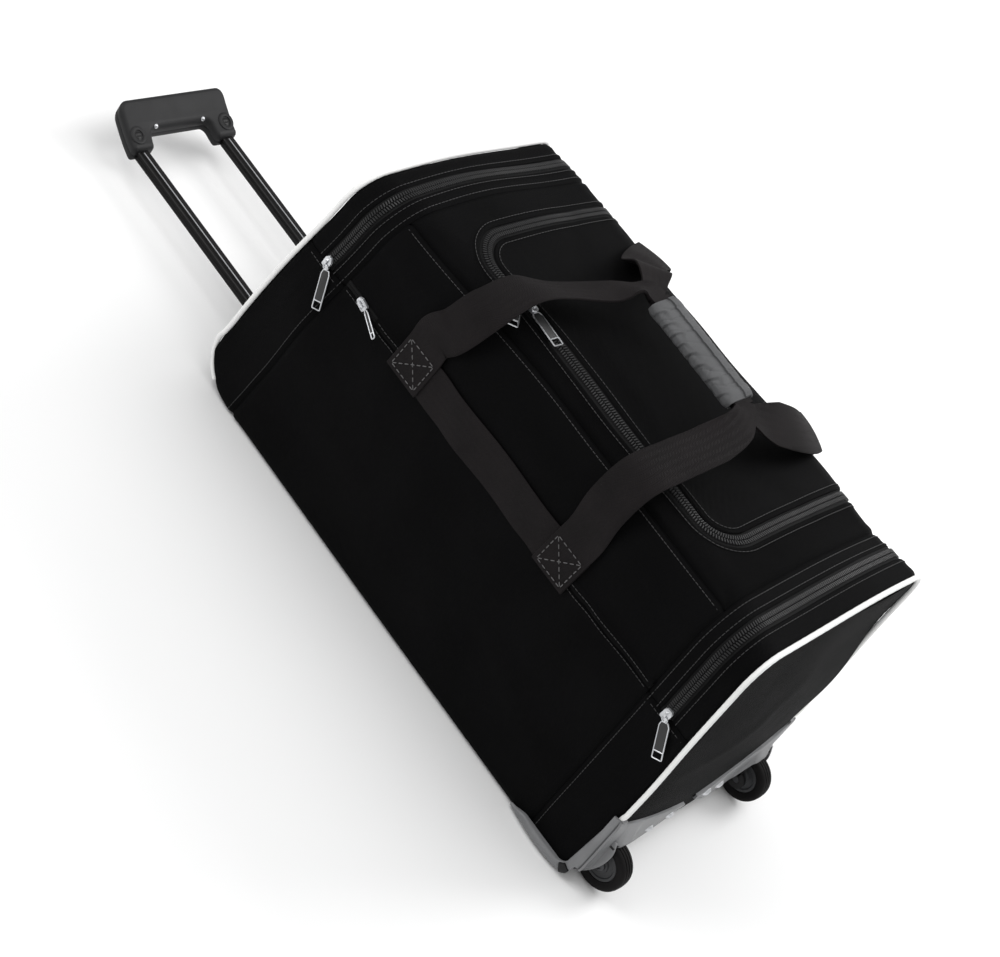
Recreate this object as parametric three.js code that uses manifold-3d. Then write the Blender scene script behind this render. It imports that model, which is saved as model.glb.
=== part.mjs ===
// Soft wheeled kit bag with a tow handle, lying on its base. Millimetres, +Z up.
// X runs along the bag from the tow handle (-X) to the wheels (+X), the pocket side faces -Y,
// and the origin is the middle of the base's underside.
import * as THREE from "three";
import { mergeVertices } from "three/addons/utils/BufferGeometryUtils.js";
import Module from "manifold-3d";

const wasm = await Module();
wasm.setup();

// Driving sizes of the body
const LENGTH = 700;
const HALF = LENGTH / 2;
const END_LEAN = 32; // each end leans in this far over LEAN_HEIGHT
const LEAN_HEIGHT = 350;
const TAPER = END_LEAN / (LEAN_HEIGHT * HALF);
const CLOTH = 2.5; // thickness of a sewn wall
const SEAM = 0.4; // gap between two sewn pieces
const CLEAR = 0.3; // gap between a piece and what it lies on
const EDGE_RADIUS = 10; // long edge of the base
const CROWN = 5; // rise of the roof's middle
const CORNER = { handle: 60, wheel: 25 }; // side-view rounding where the base meets an end

// Sections of the body along its length: half width, height, shoulder radius, swell of the long walls
const BODY = [
  { u: -350, half: 166, height: 350, shoulder: 42, belly: 0 },
  { u: -275, half: 167, height: 360, shoulder: 52, belly: 3 },
  { u: 0, half: 168, height: 373, shoulder: 84, belly: 8 },
  { u: 275, half: 167, height: 376, shoulder: 54, belly: 3 },
  { u: 350, half: 166, height: 374, shoulder: 42, belly: 0 },
];

// Places of the seams
const END_SEAM = 278.5; // seam of an end section, along the base
const POCKET_ZIP_Z = 250;
const POCKET_ZIP_HALF = 4;
const SHOULDER_SEAM = 3.56; // station of the thin seam on the shoulder
const END_ZIP_U = 311;
const END_ZIP_Z = 243; // both lower ends of an end zip
const ZIP_ROOM = 8; // half the slot a zip lies in
const LID = { left: -206, right: 202, front: -107, radius: 42 };
const PIPING_RADIUS = 3;
const PIPING_SINK = 1; // the piping's middle lies this far inside the outline
const PIPING_ROOM = 3.9; // an end section stops this far from the end
const END_BULGE = { handle: 6, wheel: 10 };
const BULGE_HALF = 170; // the swell of an end dies out this far from its middle
const BASE_BOARD = 3.5; // the base is stiffened with a board
const WELD = 1e-3; // points nearer than this are one point

// Carry handles
const WEBBING = { width: 48, thick: 2, lift: 1 };
const BOX_X = [-144, 109]; // middles of the two sewn boxes
const BOX_Z = 259;
const FOLDED = { width: 26, thick: 3.6, apart: 2.6 }; // webbing folded in two inside the wrap
const WRAP = { left: -46, right: 84, z: 426, half: 24, deep: 9, wall: 3 };

// Tow handle
const ROD = { y: 69, z: 36.5, wide: 18, tall: 12, bevel: 3, inner: -225 };
const GRIP = { half: 84, far: -672, near: -616, bar: 34, leg: 32, thick: 22, bevel: 4, round: 8, splay: 5 };
const GRIP_BEND = { rise: 25, power: 1.3 }; // the grip curves up towards its bar
const RAIL = { wall: 3, play: 0.6, outer: -286, inner: 60, web: 6 };
const MOUTH = { half: 22, tall: 17, thick: 4 };
const MOUTH_RUN = [-HALF - 40, -HALF + 90]; // a rod's way through the handle end

// Wheels and guards
const WHEEL = { x: 356, y: 135, z: 33, radius: 31, half: 10, hub: 20, axle: 4 };
const GUARD = { wall: 2.6, lift: 1, top: 113, lip: 66, foot: 26, side: -168, tip: -12, tipTop: 62, flare: 8 };
const STRIP = { start: 251, low: 4.5, narrow: 7.5, wide: 14, top: 6.5, swell: 5 };
const HOUSING = { room: 34, outer: 37, cheek: 116, side: 152, boss: 11, bossThick: 2, end: HALF + 9 };
// Free edge of a housing's cheeks in side view, from the base up
const FOOT_CURVE = [
  [332, 1],
  [345, 9],
  [352, 20],
  [357, 34],
  [HOUSING.end, 46],
];
// Lower edge of a guard's wing on the end panel, from the side to the middle
const WING_FOOT = [
  { y: GUARD.side, z: GUARD.foot },
  { y: -HOUSING.side, z: GUARD.foot },
  { y: -HOUSING.side + 4, z: GUARD.lip },
  { y: -WHEEL.y, z: GUARD.lip },
  { y: -HOUSING.cheek, z: GUARD.lip },
  { y: -108, z: 38 },
  { y: -98, z: 24 },
  { y: -78, z: 20 },
  { y: -50, z: 30 },
  { y: -24, z: 48 },
  { y: -10, z: 57 },
];
const GUARD_RIVETS = [
  { y: -68, z: 50 },
  { y: -36, z: 56 },
];
const RIVET = { radius: 5, thick: 1.5 };
const GRIP_RIVET = { y: 38, radius: 3 };

const vec = (x, y, z) => new THREE.Vector3(x, y, z);
const lerp = THREE.MathUtils.lerp;
const clamp = THREE.MathUtils.clamp;
const smoothstep = THREE.MathUtils.smoothstep;
const steps = (from, to, count) =>
  Array.from({ length: count + 1 }, (_, i) => lerp(from, to, i / count));

const finish = (color, roughness, metalness = 0) =>
  new THREE.MeshStandardMaterial({ color, roughness, metalness });
const CLOTH_BLACK = finish(0x0c0c0c, 0.85);
const WEBBING_BLACK = finish(0x231f20, 0.8);
const WRAP_GREY = finish(0x5a5a5c, 0.85);
const PIPING_WHITE = finish(0xf7f7f5, 0.6);
const ZIP_BLACK = finish(0x222222, 0.7);
const SILVER = finish(0xa6a8ab, 0.3, 1);
const TUBE_BLACK = finish(0x231f20, 0.35, 0.6);
const GRIP_GREY = finish(0x414143, 0.55);
const GUARD_GREY = finish(0x6b6c6f, 0.55);
const TYRE_BLACK = finish(0x1f1d1e, 0.7);
const HUB_GREY = finish(0x414244, 0.5);
const HOUSING_BLACK = finish(0x161616, 0.6);

const bag = new THREE.Group();

function add(name, geometry, material) {
  const mesh = new THREE.Mesh(geometry, material);
  mesh.name = name;
  bag.add(mesh);
  return mesh;
}

// Closed meshes and booleans

// A closed mesh from points and triangles, turned so that its faces point out.
function closedMesh(points, triangles) {
  let volume = 0;
  for (let i = 0; i < triangles.length; i += 3) {
    const [a, b, c] = [0, 1, 2].map((k) => points[triangles[i + k]]);
    volume += a.dot(vec(0, 0, 0).crossVectors(b, c));
  }
  const order = volume < 0 ? [...triangles].reverse() : triangles;
  return new THREE.BufferGeometry().setFromPoints(points).setIndex(order);
}

function toSolid(geometry) {
  const bare = new THREE.BufferGeometry();
  bare.setAttribute("position", geometry.getAttribute("position"));
  bare.setIndex(geometry.index);
  const merged = mergeVertices(bare, WELD);
  const mesh = new wasm.Mesh({
    numProp: 3,
    vertProperties: merged.attributes.position.array,
    triVerts: new Uint32Array(merged.index.array),
  });
  return new wasm.Manifold(mesh);
}

function fromSolid(solid) {
  const mesh = solid.getMesh();
  const geometry = new THREE.BufferGeometry();
  geometry.setAttribute("position", new THREE.BufferAttribute(mesh.vertProperties, 3));
  return geometry.setIndex(new THREE.BufferAttribute(mesh.triVerts, 1));
}

const cut = (geometry, ...tools) =>
  fromSolid(tools.reduce((solid, tool) => solid.subtract(toSolid(tool)), toSolid(geometry)));
const join = (geometry, ...others) =>
  fromSolid(others.reduce((solid, other) => solid.add(toSolid(other)), toSolid(geometry)));

// A slab: a grid of points with normals, and the same grid set inwards by the thickness or a cell's own.
function slab(grid, thickness) {
  const rows = grid.length;
  const columns = grid[0].length;
  const points = [0, 1].flatMap((layer) =>
    grid.flat().map(({ point, normal, depth = thickness }) =>
      point.clone().addScaledVector(normal, -layer * depth),
    ),
  );
  const at = (layer, i, j) => (layer * rows + i) * columns + j;
  const triangles = [];
  const quad = (a, b, c, d) => triangles.push(a, b, c, a, c, d);
  for (let i = 0; i + 1 < rows; i++) {
    for (let j = 0; j + 1 < columns; j++) {
      quad(at(0, i, j), at(0, i + 1, j), at(0, i + 1, j + 1), at(0, i, j + 1));
      quad(at(1, i, j), at(1, i, j + 1), at(1, i + 1, j + 1), at(1, i + 1, j));
    }
  }
  for (let i = 0; i + 1 < rows; i++) {
    quad(at(0, i, 0), at(1, i, 0), at(1, i + 1, 0), at(0, i + 1, 0));
    const j = columns - 1;
    quad(at(0, i, j), at(0, i + 1, j), at(1, i + 1, j), at(1, i, j));
  }
  for (let j = 0; j + 1 < columns; j++) {
    quad(at(0, 0, j), at(0, 0, j + 1), at(1, 0, j + 1), at(1, 0, j));
    const i = rows - 1;
    quad(at(0, i, j), at(1, i, j), at(1, i, j + 1), at(0, i, j + 1));
  }
  return closedMesh(points, triangles);
}

// A flat profile carried through a list of frames, each with a point and its side and up vectors.
function sweep(frames, profile) {
  const count = profile.length;
  const points = frames.flatMap((frame) =>
    profile.map(([side, up]) =>
      frame.point.clone().addScaledVector(frame.side, side).addScaledVector(frame.up, up),
    ),
  );
  const triangles = [];
  for (let i = 0; i + 1 < frames.length; i++) {
    for (let k = 0; k < count; k++) {
      const next = (k + 1) % count;
      const [a, b] = [i * count + k, i * count + next];
      triangles.push(a, b, b + count, a, b + count, a + count);
    }
  }
  const flat = profile.map(([side, up]) => new THREE.Vector2(side, up));
  const last = (frames.length - 1) * count;
  for (const [a, b, c] of THREE.ShapeUtils.triangulateShape(flat, [])) {
    const turned = THREE.ShapeUtils.isClockWise(flat) ? [a, b, c] : [c, b, a];
    triangles.push(...turned, ...[...turned].reverse().map((k) => k + last));
  }
  return closedMesh(points, triangles);
}

// A round bar along Y, and a block between two corners.
function bar(radius, fromY, toY, x, z, sides = 20) {
  const geometry = new THREE.CylinderGeometry(radius, radius, toY - fromY, sides);
  return geometry.translate(x, (fromY + toY) / 2, z);
}

function block(from, to) {
  const size = to.clone().sub(from);
  const middle = from.clone().add(to).multiplyScalar(0.5);
  return new THREE.BoxGeometry(size.x, size.y, size.z).translate(middle.x, middle.y, middle.z);
}

// The bag's surface

// A column of the body table at a place along the bag, eased between its rows.
function body(u, column) {
  const next = BODY.findIndex((row) => row.u >= Math.min(u, HALF));
  const after = BODY[Math.max(next, 1)];
  const before = BODY[Math.max(next, 1) - 1];
  return lerp(before[column], after[column], smoothstep(u, before.u, after.u));
}

// How far the base has risen at a place along the bag, on the round corner before each end.
function baseRise(u) {
  const radius = u < 0 ? CORNER.handle : CORNER.wheel;
  const run = Math.min(Math.abs(u), HALF) - (HALF - radius);
  return run > 0 ? radius - Math.sqrt(Math.max(radius * radius - run * run, 0)) : 0;
}

// A point of the bag's outer surface. u is the place along the base, and the station runs round the
// section: 0-1 half the base, 1-2 its long edge, 2-3 the front wall, 3-4 the shoulder, 4-5 half the
// roof, and 5-10 the same again down the back.
function bagPoint(u, station) {
  const s = station > 5 ? 10 - station : station;
  const half = body(u, "half");
  const height = body(u, "height");
  const shoulder = body(u, "shoulder");
  const foot = baseRise(u);
  const turn = ((s % 1) * Math.PI) / 2;
  let y = (half - EDGE_RADIUS) * s;
  let z = foot;
  if (s > 4) {
    y = (half - shoulder) * (5 - s);
    z = height + CROWN * (1 - (5 - s) ** 2);
  } else if (s > 3) {
    y = half - shoulder + shoulder * (s === 4 ? 0 : Math.cos(turn));
    z = height - shoulder + shoulder * (s === 4 ? 1 : Math.sin(turn));
  } else if (s > 2) {
    y = half + body(u, "belly") * Math.sin(Math.PI * (s - 2)) ** 2;
    z = lerp(foot + EDGE_RADIUS, height - shoulder, s - 2);
  } else if (s > 1) {
    y = half - EDGE_RADIUS + EDGE_RADIUS * (s === 2 ? 1 : Math.sin(turn));
    z = foot + EDGE_RADIUS * (1 - (s === 2 ? 0 : Math.cos(turn)));
  }
  return vec(u * (1 - TAPER * z), station > 5 ? y : -y, z);
}

// A point of the surface with its outward normal.
function bagCell(u, station) {
  const point = bagPoint(u, station);
  const before = bagPoint(Math.max(u - 1, -HALF), station);
  const along = bagPoint(Math.min(u + 1, HALF), station).sub(before);
  const round = bagPoint(u, station + 0.01).sub(bagPoint(u, station - 0.01));
  return { point, normal: along.cross(round).normalize() };
}

// Stations of the front at a height on the wall and at a distance from the middle on the roof.
function wallStation(u, z) {
  const low = baseRise(u) + EDGE_RADIUS;
  return 2 + (z - low) / (body(u, "height") - body(u, "shoulder") - low);
}

function roofStation(u, y) {
  const shoulder = body(u, "shoulder");
  const flat = body(u, "half") - shoulder;
  const out = Math.abs(y);
  const turn = Math.acos(clamp((out - flat) / shoulder, 0, 1));
  const s = out < flat ? 5 - out / flat : 3 + turn / (Math.PI / 2);
  return y > 0 ? 10 - s : s;
}

// The front station at a height, on the long edge of the base or on the wall.
function stationAt(u, z) {
  const up = z - baseRise(u);
  const turn = Math.acos(clamp(1 - up / EDGE_RADIUS, 0, 1));
  return up < EDGE_RADIUS ? 1 + turn / (Math.PI / 2) : wallStation(u, z);
}

// A station moved along the section by a distance.
function shifted(u, station, distance) {
  const span = bagPoint(u, station + 0.01).distanceTo(bagPoint(u, station - 0.01));
  return station + (0.02 * distance) / span;
}

// The surface cell under a place seen from above.
function roofCell(x, y) {
  let u = x / (1 - TAPER * body(x, "height"));
  for (let pass = 0; pass < 3; pass++) {
    const z = bagPoint(u, roofStation(u, y)).z;
    u = x / (1 - TAPER * z);
  }
  return { u, s: roofStation(u, y) };
}

// A sewn panel between two edges, each a list of places on the surface.
function panel(edgeA, edgeB, across, thickness = CLOTH) {
  const grid = edgeA.map((a, i) =>
    steps(0, 1, across).map((q) => bagCell(lerp(a.u, edgeB[i].u, q), lerp(a.s, edgeB[i].s, q))),
  );
  return slab(grid, thickness);
}

const mirrorEdge = (edge) => edge.map(({ u, s }) => ({ u, s: 10 - s }));

// A strip laid on the surface along a list of places, with a profile of side and height.
function layFrames(places) {
  const cells = places.map(({ u, s }) => bagCell(u, s));
  return cells.map((cell, i) => {
    const before = cells[Math.max(i - 1, 0)].point;
    const after = cells[Math.min(i + 1, cells.length - 1)].point;
    const ahead = after.clone().sub(before).normalize();
    const side = ahead.clone().cross(cell.normal).normalize();
    return { point: cell.point, side, up: cell.normal };
  });
}

// Base, long walls and roof

const WALL_U = steps(-END_SEAM + SEAM / 2, END_SEAM - SEAM / 2, 14);

function basePanel() {
  const half = body(HALF, "half") - EDGE_RADIUS - SEAM;
  const ends = [-(HALF - CORNER.handle - SEAM), HALF - CORNER.wheel - SEAM];
  return block(vec(ends[0], -half, 0), vec(ends[1], half, BASE_BOARD));
}

// A long wall with its base edge, and the yoke over it up to the shoulder seam. In front they leave room
// for the pocket zip, and at the back they meet in a plain seam.
function longWall(names, mirror) {
  const room = mirror ? SEAM / 2 : POCKET_ZIP_HALF;
  const turned = (edge) => (mirror ? mirrorEdge(edge) : edge);
  const zip = WALL_U.map((u) => ({ u, s: wallStation(u, POCKET_ZIP_Z) }));
  const row = (station) => WALL_U.map((u) => ({ u, s: station }));
  const below = zip.map(({ u, s }) => ({ u, s: shifted(u, s, -room) }));
  const above = zip.map(({ u, s }) => ({ u, s: shifted(u, s, room) }));
  const top = row(SHOULDER_SEAM).map(({ u, s }) => ({ u, s: shifted(u, s, -SEAM / 2) }));
  const arcs = steps(1, 2, 2).map(row);
  const heights = steps(0, 1, 3).slice(1).map((q) => below.map(({ u, s }) => ({ u, s: lerp(2, s, q) })));
  const grid = [...arcs, ...heights].map((edge) => turned(edge).map(({ u, s }) => bagCell(u, s)));
  add(names.wall, slab(grid, CLOTH), CLOTH_BLACK);
  const third = above.map(({ u, s }) => ({ u, s: Math.max(s + 0.01, 3) }));
  const yoke = [above, third, top].map((edge) => turned(edge).map(({ u, s }) => bagCell(u, s)));
  add(names.yoke, slab(yoke, CLOTH), CLOTH_BLACK);
}

const LID_CELLS = { side: 6, corner: 4, front: 8 };

// Where the lid meets the back shoulder seam.
function lidBack(x) {
  const { u } = roofCell(x, 0);
  return bagPoint(u, shifted(u, 10 - SHOULDER_SEAM, -SEAM)).y;
}

// The U of the lid's zip seen from above, set outwards by a distance: down the handle-end side from the
// back, round two corners and back up the wheel-end side.
function lidLine(out) {
  const { left, right, front, radius } = LID;
  const round = radius + out;
  const turns = steps(0, Math.PI / 2, LID_CELLS.corner);
  const side = (x) => steps(lidBack(x), front + radius, LID_CELLS.side).map((y) => [x, y]);
  const corner = (x, sign) =>
    turns.map((turn) => [
      x - sign * round * Math.cos(turn),
      front + radius - round * Math.sin(turn),
    ]);
  const rightCorner = corner(right - radius, -1).reverse();
  const frontRun = steps(left + radius, right - radius, LID_CELLS.front);
  return [
    ...side(left - out).slice(0, -1),
    ...corner(left + radius, 1),
    ...frontRun.slice(1, -1).map((x) => [x, front - out]),
    ...rightCorner,
    ...side(right + out).reverse().slice(1),
  ];
}

const lidPath = (out) => lidLine(out).map(([x, y]) => roofCell(x, y));

// The roof round the lid: from the zip's slot out to the end seams and the front shoulder seam.
function topFrame() {
  const inner = lidPath(ZIP_ROOM);
  const reach = END_SEAM - SEAM / 2;
  const cornerAt = LID_CELLS.side + LID_CELLS.corner / 2;
  const outer = inner.map(({ u, s }, i) => {
    const fromEnd = inner.length - 1 - i;
    const nearest = Math.min(i, fromEnd);
    const end = i < fromEnd ? -reach : reach;
    if (nearest < cornerAt) {
      return { u: end, s: nearest < LID_CELLS.side ? s : lerp(s, SHOULDER_SEAM, 0.5) };
    }
    const along = nearest === cornerAt ? end : u;
    return { u: along, s: shifted(along, SHOULDER_SEAM, SEAM / 2) };
  });
  return panel(inner, outer, 2);
}

// The lid: columns from the back shoulder seam down to the zip's front and its two corners.
function lid() {
  const edge = lidLine(-ZIP_ROOM).slice(LID_CELLS.side, -LID_CELLS.side);
  const grid = edge.map(([x, y]) =>
    steps(lidBack(x), y, 4).map((down) => {
      const { u, s } = roofCell(x, down);
      return bagCell(u, s);
    }),
  );
  return slab(grid, CLOTH);
}

// Zips

const COIL = [
  [-7.5, -2.2],
  [7.5, -2.2],
  [7.5, -0.8],
  [2.2, -0.8],
  [1.6, 0.9],
  [-1.6, 0.9],
  [-2.2, -0.8],
  [-7.5, -0.8],
];
const HIDDEN_ZIP = [
  [-3.6, -2.4],
  [3.6, -2.4],
  [3.6, -1],
  [1, -0.4],
  [-1, -0.4],
  [-3.6, -1],
];

// Stations from the front end of an end zip over the roof to its back end.
function endStations(u, z) {
  const low = wallStation(u, z);
  const front = [...steps(low, 3, 2).slice(0, -1), ...steps(3, 4, 4), 4.5];
  return [...front, 5, ...[...front].reverse().map((s) => 10 - s)];
}

// End sections: two lower pieces, a strip either side of the zip, the zip, the end panel, the piping

const ENDS = [
  { name: "handle", sign: -1 },
  { name: "wheel", sign: 1 },
];

// A strip over the roof beside an end zip, from the zip's slot out to a seam or the piping.
function endStrip(sign, seamU) {
  const side = Math.sign(seamU - END_ZIP_U);
  const stations = endStations(sign * END_ZIP_U, END_ZIP_Z + SEAM);
  const last = stations.length - 1;
  const place = (u, i) => {
    const low = wallStation(u, END_ZIP_Z + SEAM);
    const ends = new Map([[0, low], [last, 10 - low]]);
    return { u, s: ends.get(i) ?? stations[i] };
  };
  const slot = stations.map((s, i) => {
    const { z } = bagPoint(sign * END_ZIP_U, s);
    return place(sign * (END_ZIP_U + (side * ZIP_ROOM) / (1 - TAPER * z)), i);
  });
  const seam = stations.map((s, i) => place(sign * seamU, i));
  return panel(slot, seam, 1);
}

// The lowest station of an end section's wall: near the end it stops short of the edge the trim runs on.
const edgeStation = (u) => lerp(1, 1.95, smoothstep(Math.abs(u), HALF - 42, HALF - 30));

function lowerPiece(sign, mirror) {
  const us = [END_SEAM + SEAM / 2, 300, 312, 322, 334, HALF - PIPING_ROOM].map((u) => sign * u);
  const grid = us.map((u) => {
    const top = wallStation(u, END_ZIP_Z - SEAM);
    const low = edgeStation(u);
    const stations = [low, lerp(low, 2, 0.5), 2, lerp(2, top, 0.5), top];
    return stations.map((s) => bagCell(u, mirror ? 10 - s : s));
  });
  return slab(grid, CLOTH);
}

// The end panel's surface: the leaning end plane, its round foot, and a slight swell.
function endPoint(end, y, z) {
  const radius = CORNER[end.name];
  const u = z < radius ? HALF - radius + Math.sqrt(radius ** 2 - (radius - z) ** 2) : HALF;
  const height = body(end.sign * HALF, "height");
  const rise = Math.sin(Math.PI * clamp(z / height, 0, 1));
  const swell = END_BULGE[end.name] * (1 - (y / BULGE_HALF) ** 2) * rise;
  return vec(end.sign * (u * (1 - TAPER * z) + Math.max(swell, 0)), y, z);
}

function endCell(end, y, z) {
  const point = endPoint(end, y, z);
  const low = Math.max(z - 0.5, 0);
  const across = endPoint(end, y + 0.5, z).sub(endPoint(end, y - 0.5, z));
  const up = endPoint(end, y, z + 0.5).sub(endPoint(end, y, low));
  return { point, normal: across.cross(up).multiplyScalar(end.sign).normalize() };
}

function endPanel(end) {
  const u = end.sign * HALF;
  const radius = CORNER[end.name];
  const inset = PIPING_RADIUS + PIPING_SINK + SEAM;
  const shoulder = body(u, "shoulder") - inset;
  const top = body(u, "height") - inset;
  const half = body(u, "half") - inset;
  const reach = (z) => {
    const up = Math.max(z - (top - shoulder), 0);
    const edge = EDGE_RADIUS - inset + 1; // clear of the base's round edge
    const trim = end.name === "handle" ? PIPING_RADIUS - PIPING_SINK + SEAM : edge; // clear of the piping
    const foot = lerp(edge, trim, smoothstep(z, 3, 11));
    const round = Math.sqrt(Math.max(shoulder ** 2 - up ** 2, 0));
    return half - shoulder + round - foot * (1 - smoothstep(z, radius, radius + 14));
  };
  const footCells = end.name === "handle" ? 5 : 3;
  const foot = steps(0, Math.PI / 2, footCells).map((turn) => radius * (1 - Math.cos(turn)));
  const wall = steps(radius, top - shoulder, 5).slice(1);
  const turns = steps(0, Math.PI / 2, 4).slice(1);
  const arc = turns.map((turn) => top - shoulder * (1 - Math.sin(turn)));
  const heights = [...foot, ...wall, ...arc];
  const grid = heights.map((z) => steps(-1, 1, 8).map((q) => endCell(end, q * reach(z), z)));
  return slab(grid, CLOTH);
}

// White piping round an end panel. At the handle end it runs on round the foot to the base.
const PIPING_FOOT = Math.PI * 0.17; // where it ends on the round foot

function piping(end) {
  const u = end.sign * HALF;
  const start = end.name === "wheel" ? GUARD.top + 2 : CORNER.handle;
  const front = [
    ...steps(wallStation(u, start + 3), 3, 4).slice(0, -1),
    ...steps(3, 4, 5),
    4.4,
  ];
  const stations = [...front, 5, ...[...front].reverse().map((s) => 10 - s)];
  let points = stations.map((s) => {
    const cell = bagCell(u, s);
    return cell.point.addScaledVector(vec(0, cell.normal.y, cell.normal.z), -PIPING_SINK);
  });
  if (end.name === "handle") {
    const clear = PIPING_RADIUS + SEAM;
    const half = body(u, "half") - clear;
    const feet = steps(PIPING_FOOT, Math.PI / 2, 4).map((turn) => {
      const z = CORNER.handle * (1 - Math.cos(turn)) + clear;
      const along = HALF - CORNER.handle + CORNER.handle * Math.sin(turn) + PIPING_SINK;
      return vec(end.sign * along * (1 - TAPER * z), -half, z);
    });
    const backFeet = feet.map((p) => vec(p.x, -p.y, p.z)).reverse();
    points = [...feet, ...points, ...backFeet];
  }
  const frames = points.map((point, i) => {
    const before = points[Math.max(i - 1, 0)];
    const after = points[Math.min(i + 1, points.length - 1)];
    const ahead = after.clone().sub(before).normalize();
    const side = vec(end.sign, 0, 0).addScaledVector(ahead, -ahead.x * end.sign).normalize();
    return { point, side, up: ahead.clone().cross(side) };
  });
  const ring = steps(0, 2 * Math.PI, 6).slice(1);
  const circle = ring.map((a) => [PIPING_RADIUS * Math.cos(a), PIPING_RADIUS * Math.sin(a)]);
  return sweep(frames, circle);
}

// Sliders and pull tabs

const SLIDER = { wide: 10, long: 14, thick: 4 };
const TAB = { wide: 12.5, long: 44, thick: 1.6, hole: 7, neck: 5, rim: 2.5 };
const SMALL_TAB = { wide: 6, long: 34, thick: 1.6, hole: 2.4, neck: 5, rim: 2.5 };

function sliderShape() {
  const { wide, long } = SLIDER;
  const shape = new THREE.Shape();
  shape.moveTo(-wide / 2, -long / 2);
  shape.lineTo(wide / 2, -long / 2);
  shape.lineTo(wide / 2, long / 4);
  shape.lineTo(wide / 4, long / 2);
  shape.lineTo(-wide / 4, long / 2);
  shape.lineTo(-wide / 2, long / 4);
  return shape;
}

// A tab that narrows at its upper end and has a square window at its lower end.
function tabShape(tab) {
  const { wide, long, hole, neck, rim } = tab;
  const shape = new THREE.Shape();
  shape.moveTo(-wide / 3, 0);
  shape.lineTo(-wide / 2, -neck);
  shape.lineTo(-wide / 2, -long);
  shape.lineTo(wide / 2, -long);
  shape.lineTo(wide / 2, -neck);
  shape.lineTo(wide / 3, 0);
  const low = -long + rim;
  const window = new THREE.Path();
  window.moveTo(-hole / 2, low);
  window.lineTo(-hole / 2, low + hole);
  window.lineTo(hole / 2, low + hole);
  window.lineTo(hole / 2, low);
  shape.holes.push(window);
  return shape;
}

// A flat outline stood off the surface: its own +Y points along ahead and its +Z along the normal.
function standOn(name, shape, thick, cell, ahead, lift, material) {
  const up = cell.normal.clone();
  const along = ahead.clone().addScaledVector(up, -ahead.dot(up)).normalize();
  const geometry = new THREE.ExtrudeGeometry(shape, { depth: thick, bevelEnabled: false });
  const mesh = add(name, geometry, material);
  const axes = new THREE.Matrix4().makeBasis(along.clone().cross(up), along, up);
  mesh.quaternion.setFromRotationMatrix(axes);
  mesh.position.copy(cell.point).addScaledVector(up, lift);
}

// Each zip's slider: where it sits on a wall (u, z) or the roof (x, y), which way it faces, and which way
// its tab lies. The pocket zip has no raised coil and a small tab.
const COIL_TOP = 0.9;
const END_PULL_Z = END_ZIP_Z + 5;
const UP = [0, 0, 1];
const DOWN = [0.49, 0, -0.87];
const PULLS = [
  { name: "end_handle", u: -END_ZIP_U, z: END_PULL_Z, face: UP, hang: DOWN },
  { name: "end_wheel", u: END_ZIP_U, z: END_PULL_Z, face: UP, hang: DOWN },
  { name: "lid_a", x: -130, y: LID.front, face: [1, 0, 0], hang: [0.62, -0.78, -0.05] },
  { name: "lid_b", x: -111, y: LID.front, face: [-1, 0, 0], hang: [0.99, -0.1, 0] },
  { name: "pocket", u: -248, z: POCKET_ZIP_Z, face: [-5, 0, 1], hang: [5, 0, -1], small: true },
];
const TAB_LIFT = 1.2; // from the coil to the tab

function pulls() {
  for (const { name, u, z, x, y, face, hang, small } of PULLS) {
    const [tab, coil] = small ? [SMALL_TAB, 0] : [TAB, COIL_TOP];
    const place = z === undefined ? roofCell(x, y) : { u, s: wallStation(u, z) };
    const cell = bagCell(place.u, place.s);
    const up = cell.normal;
    const ahead = vec(...face);
    standOn("slider_" + name, sliderShape(), SLIDER.thick, cell, ahead, coil + CLEAR, SILVER);
    const along = vec(...hang);
    const away = along.addScaledVector(up, -along.dot(up)).normalize();
    const turn = away.angleTo(ahead);
    const corners = sliderShape().getPoints();
    const extents = corners.map((p) => p.y * Math.cos(turn) + Math.abs(p.x) * Math.sin(turn));
    const reach = Math.max(...extents) + CLEAR;
    const start = { point: cell.point.clone().addScaledVector(away, reach), normal: up };
    standOn("tab_" + name, tabShape(tab), tab.thick, start, away.negate(), coil + TAB_LIFT, SILVER);
  }
}

// Carry handles

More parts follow.
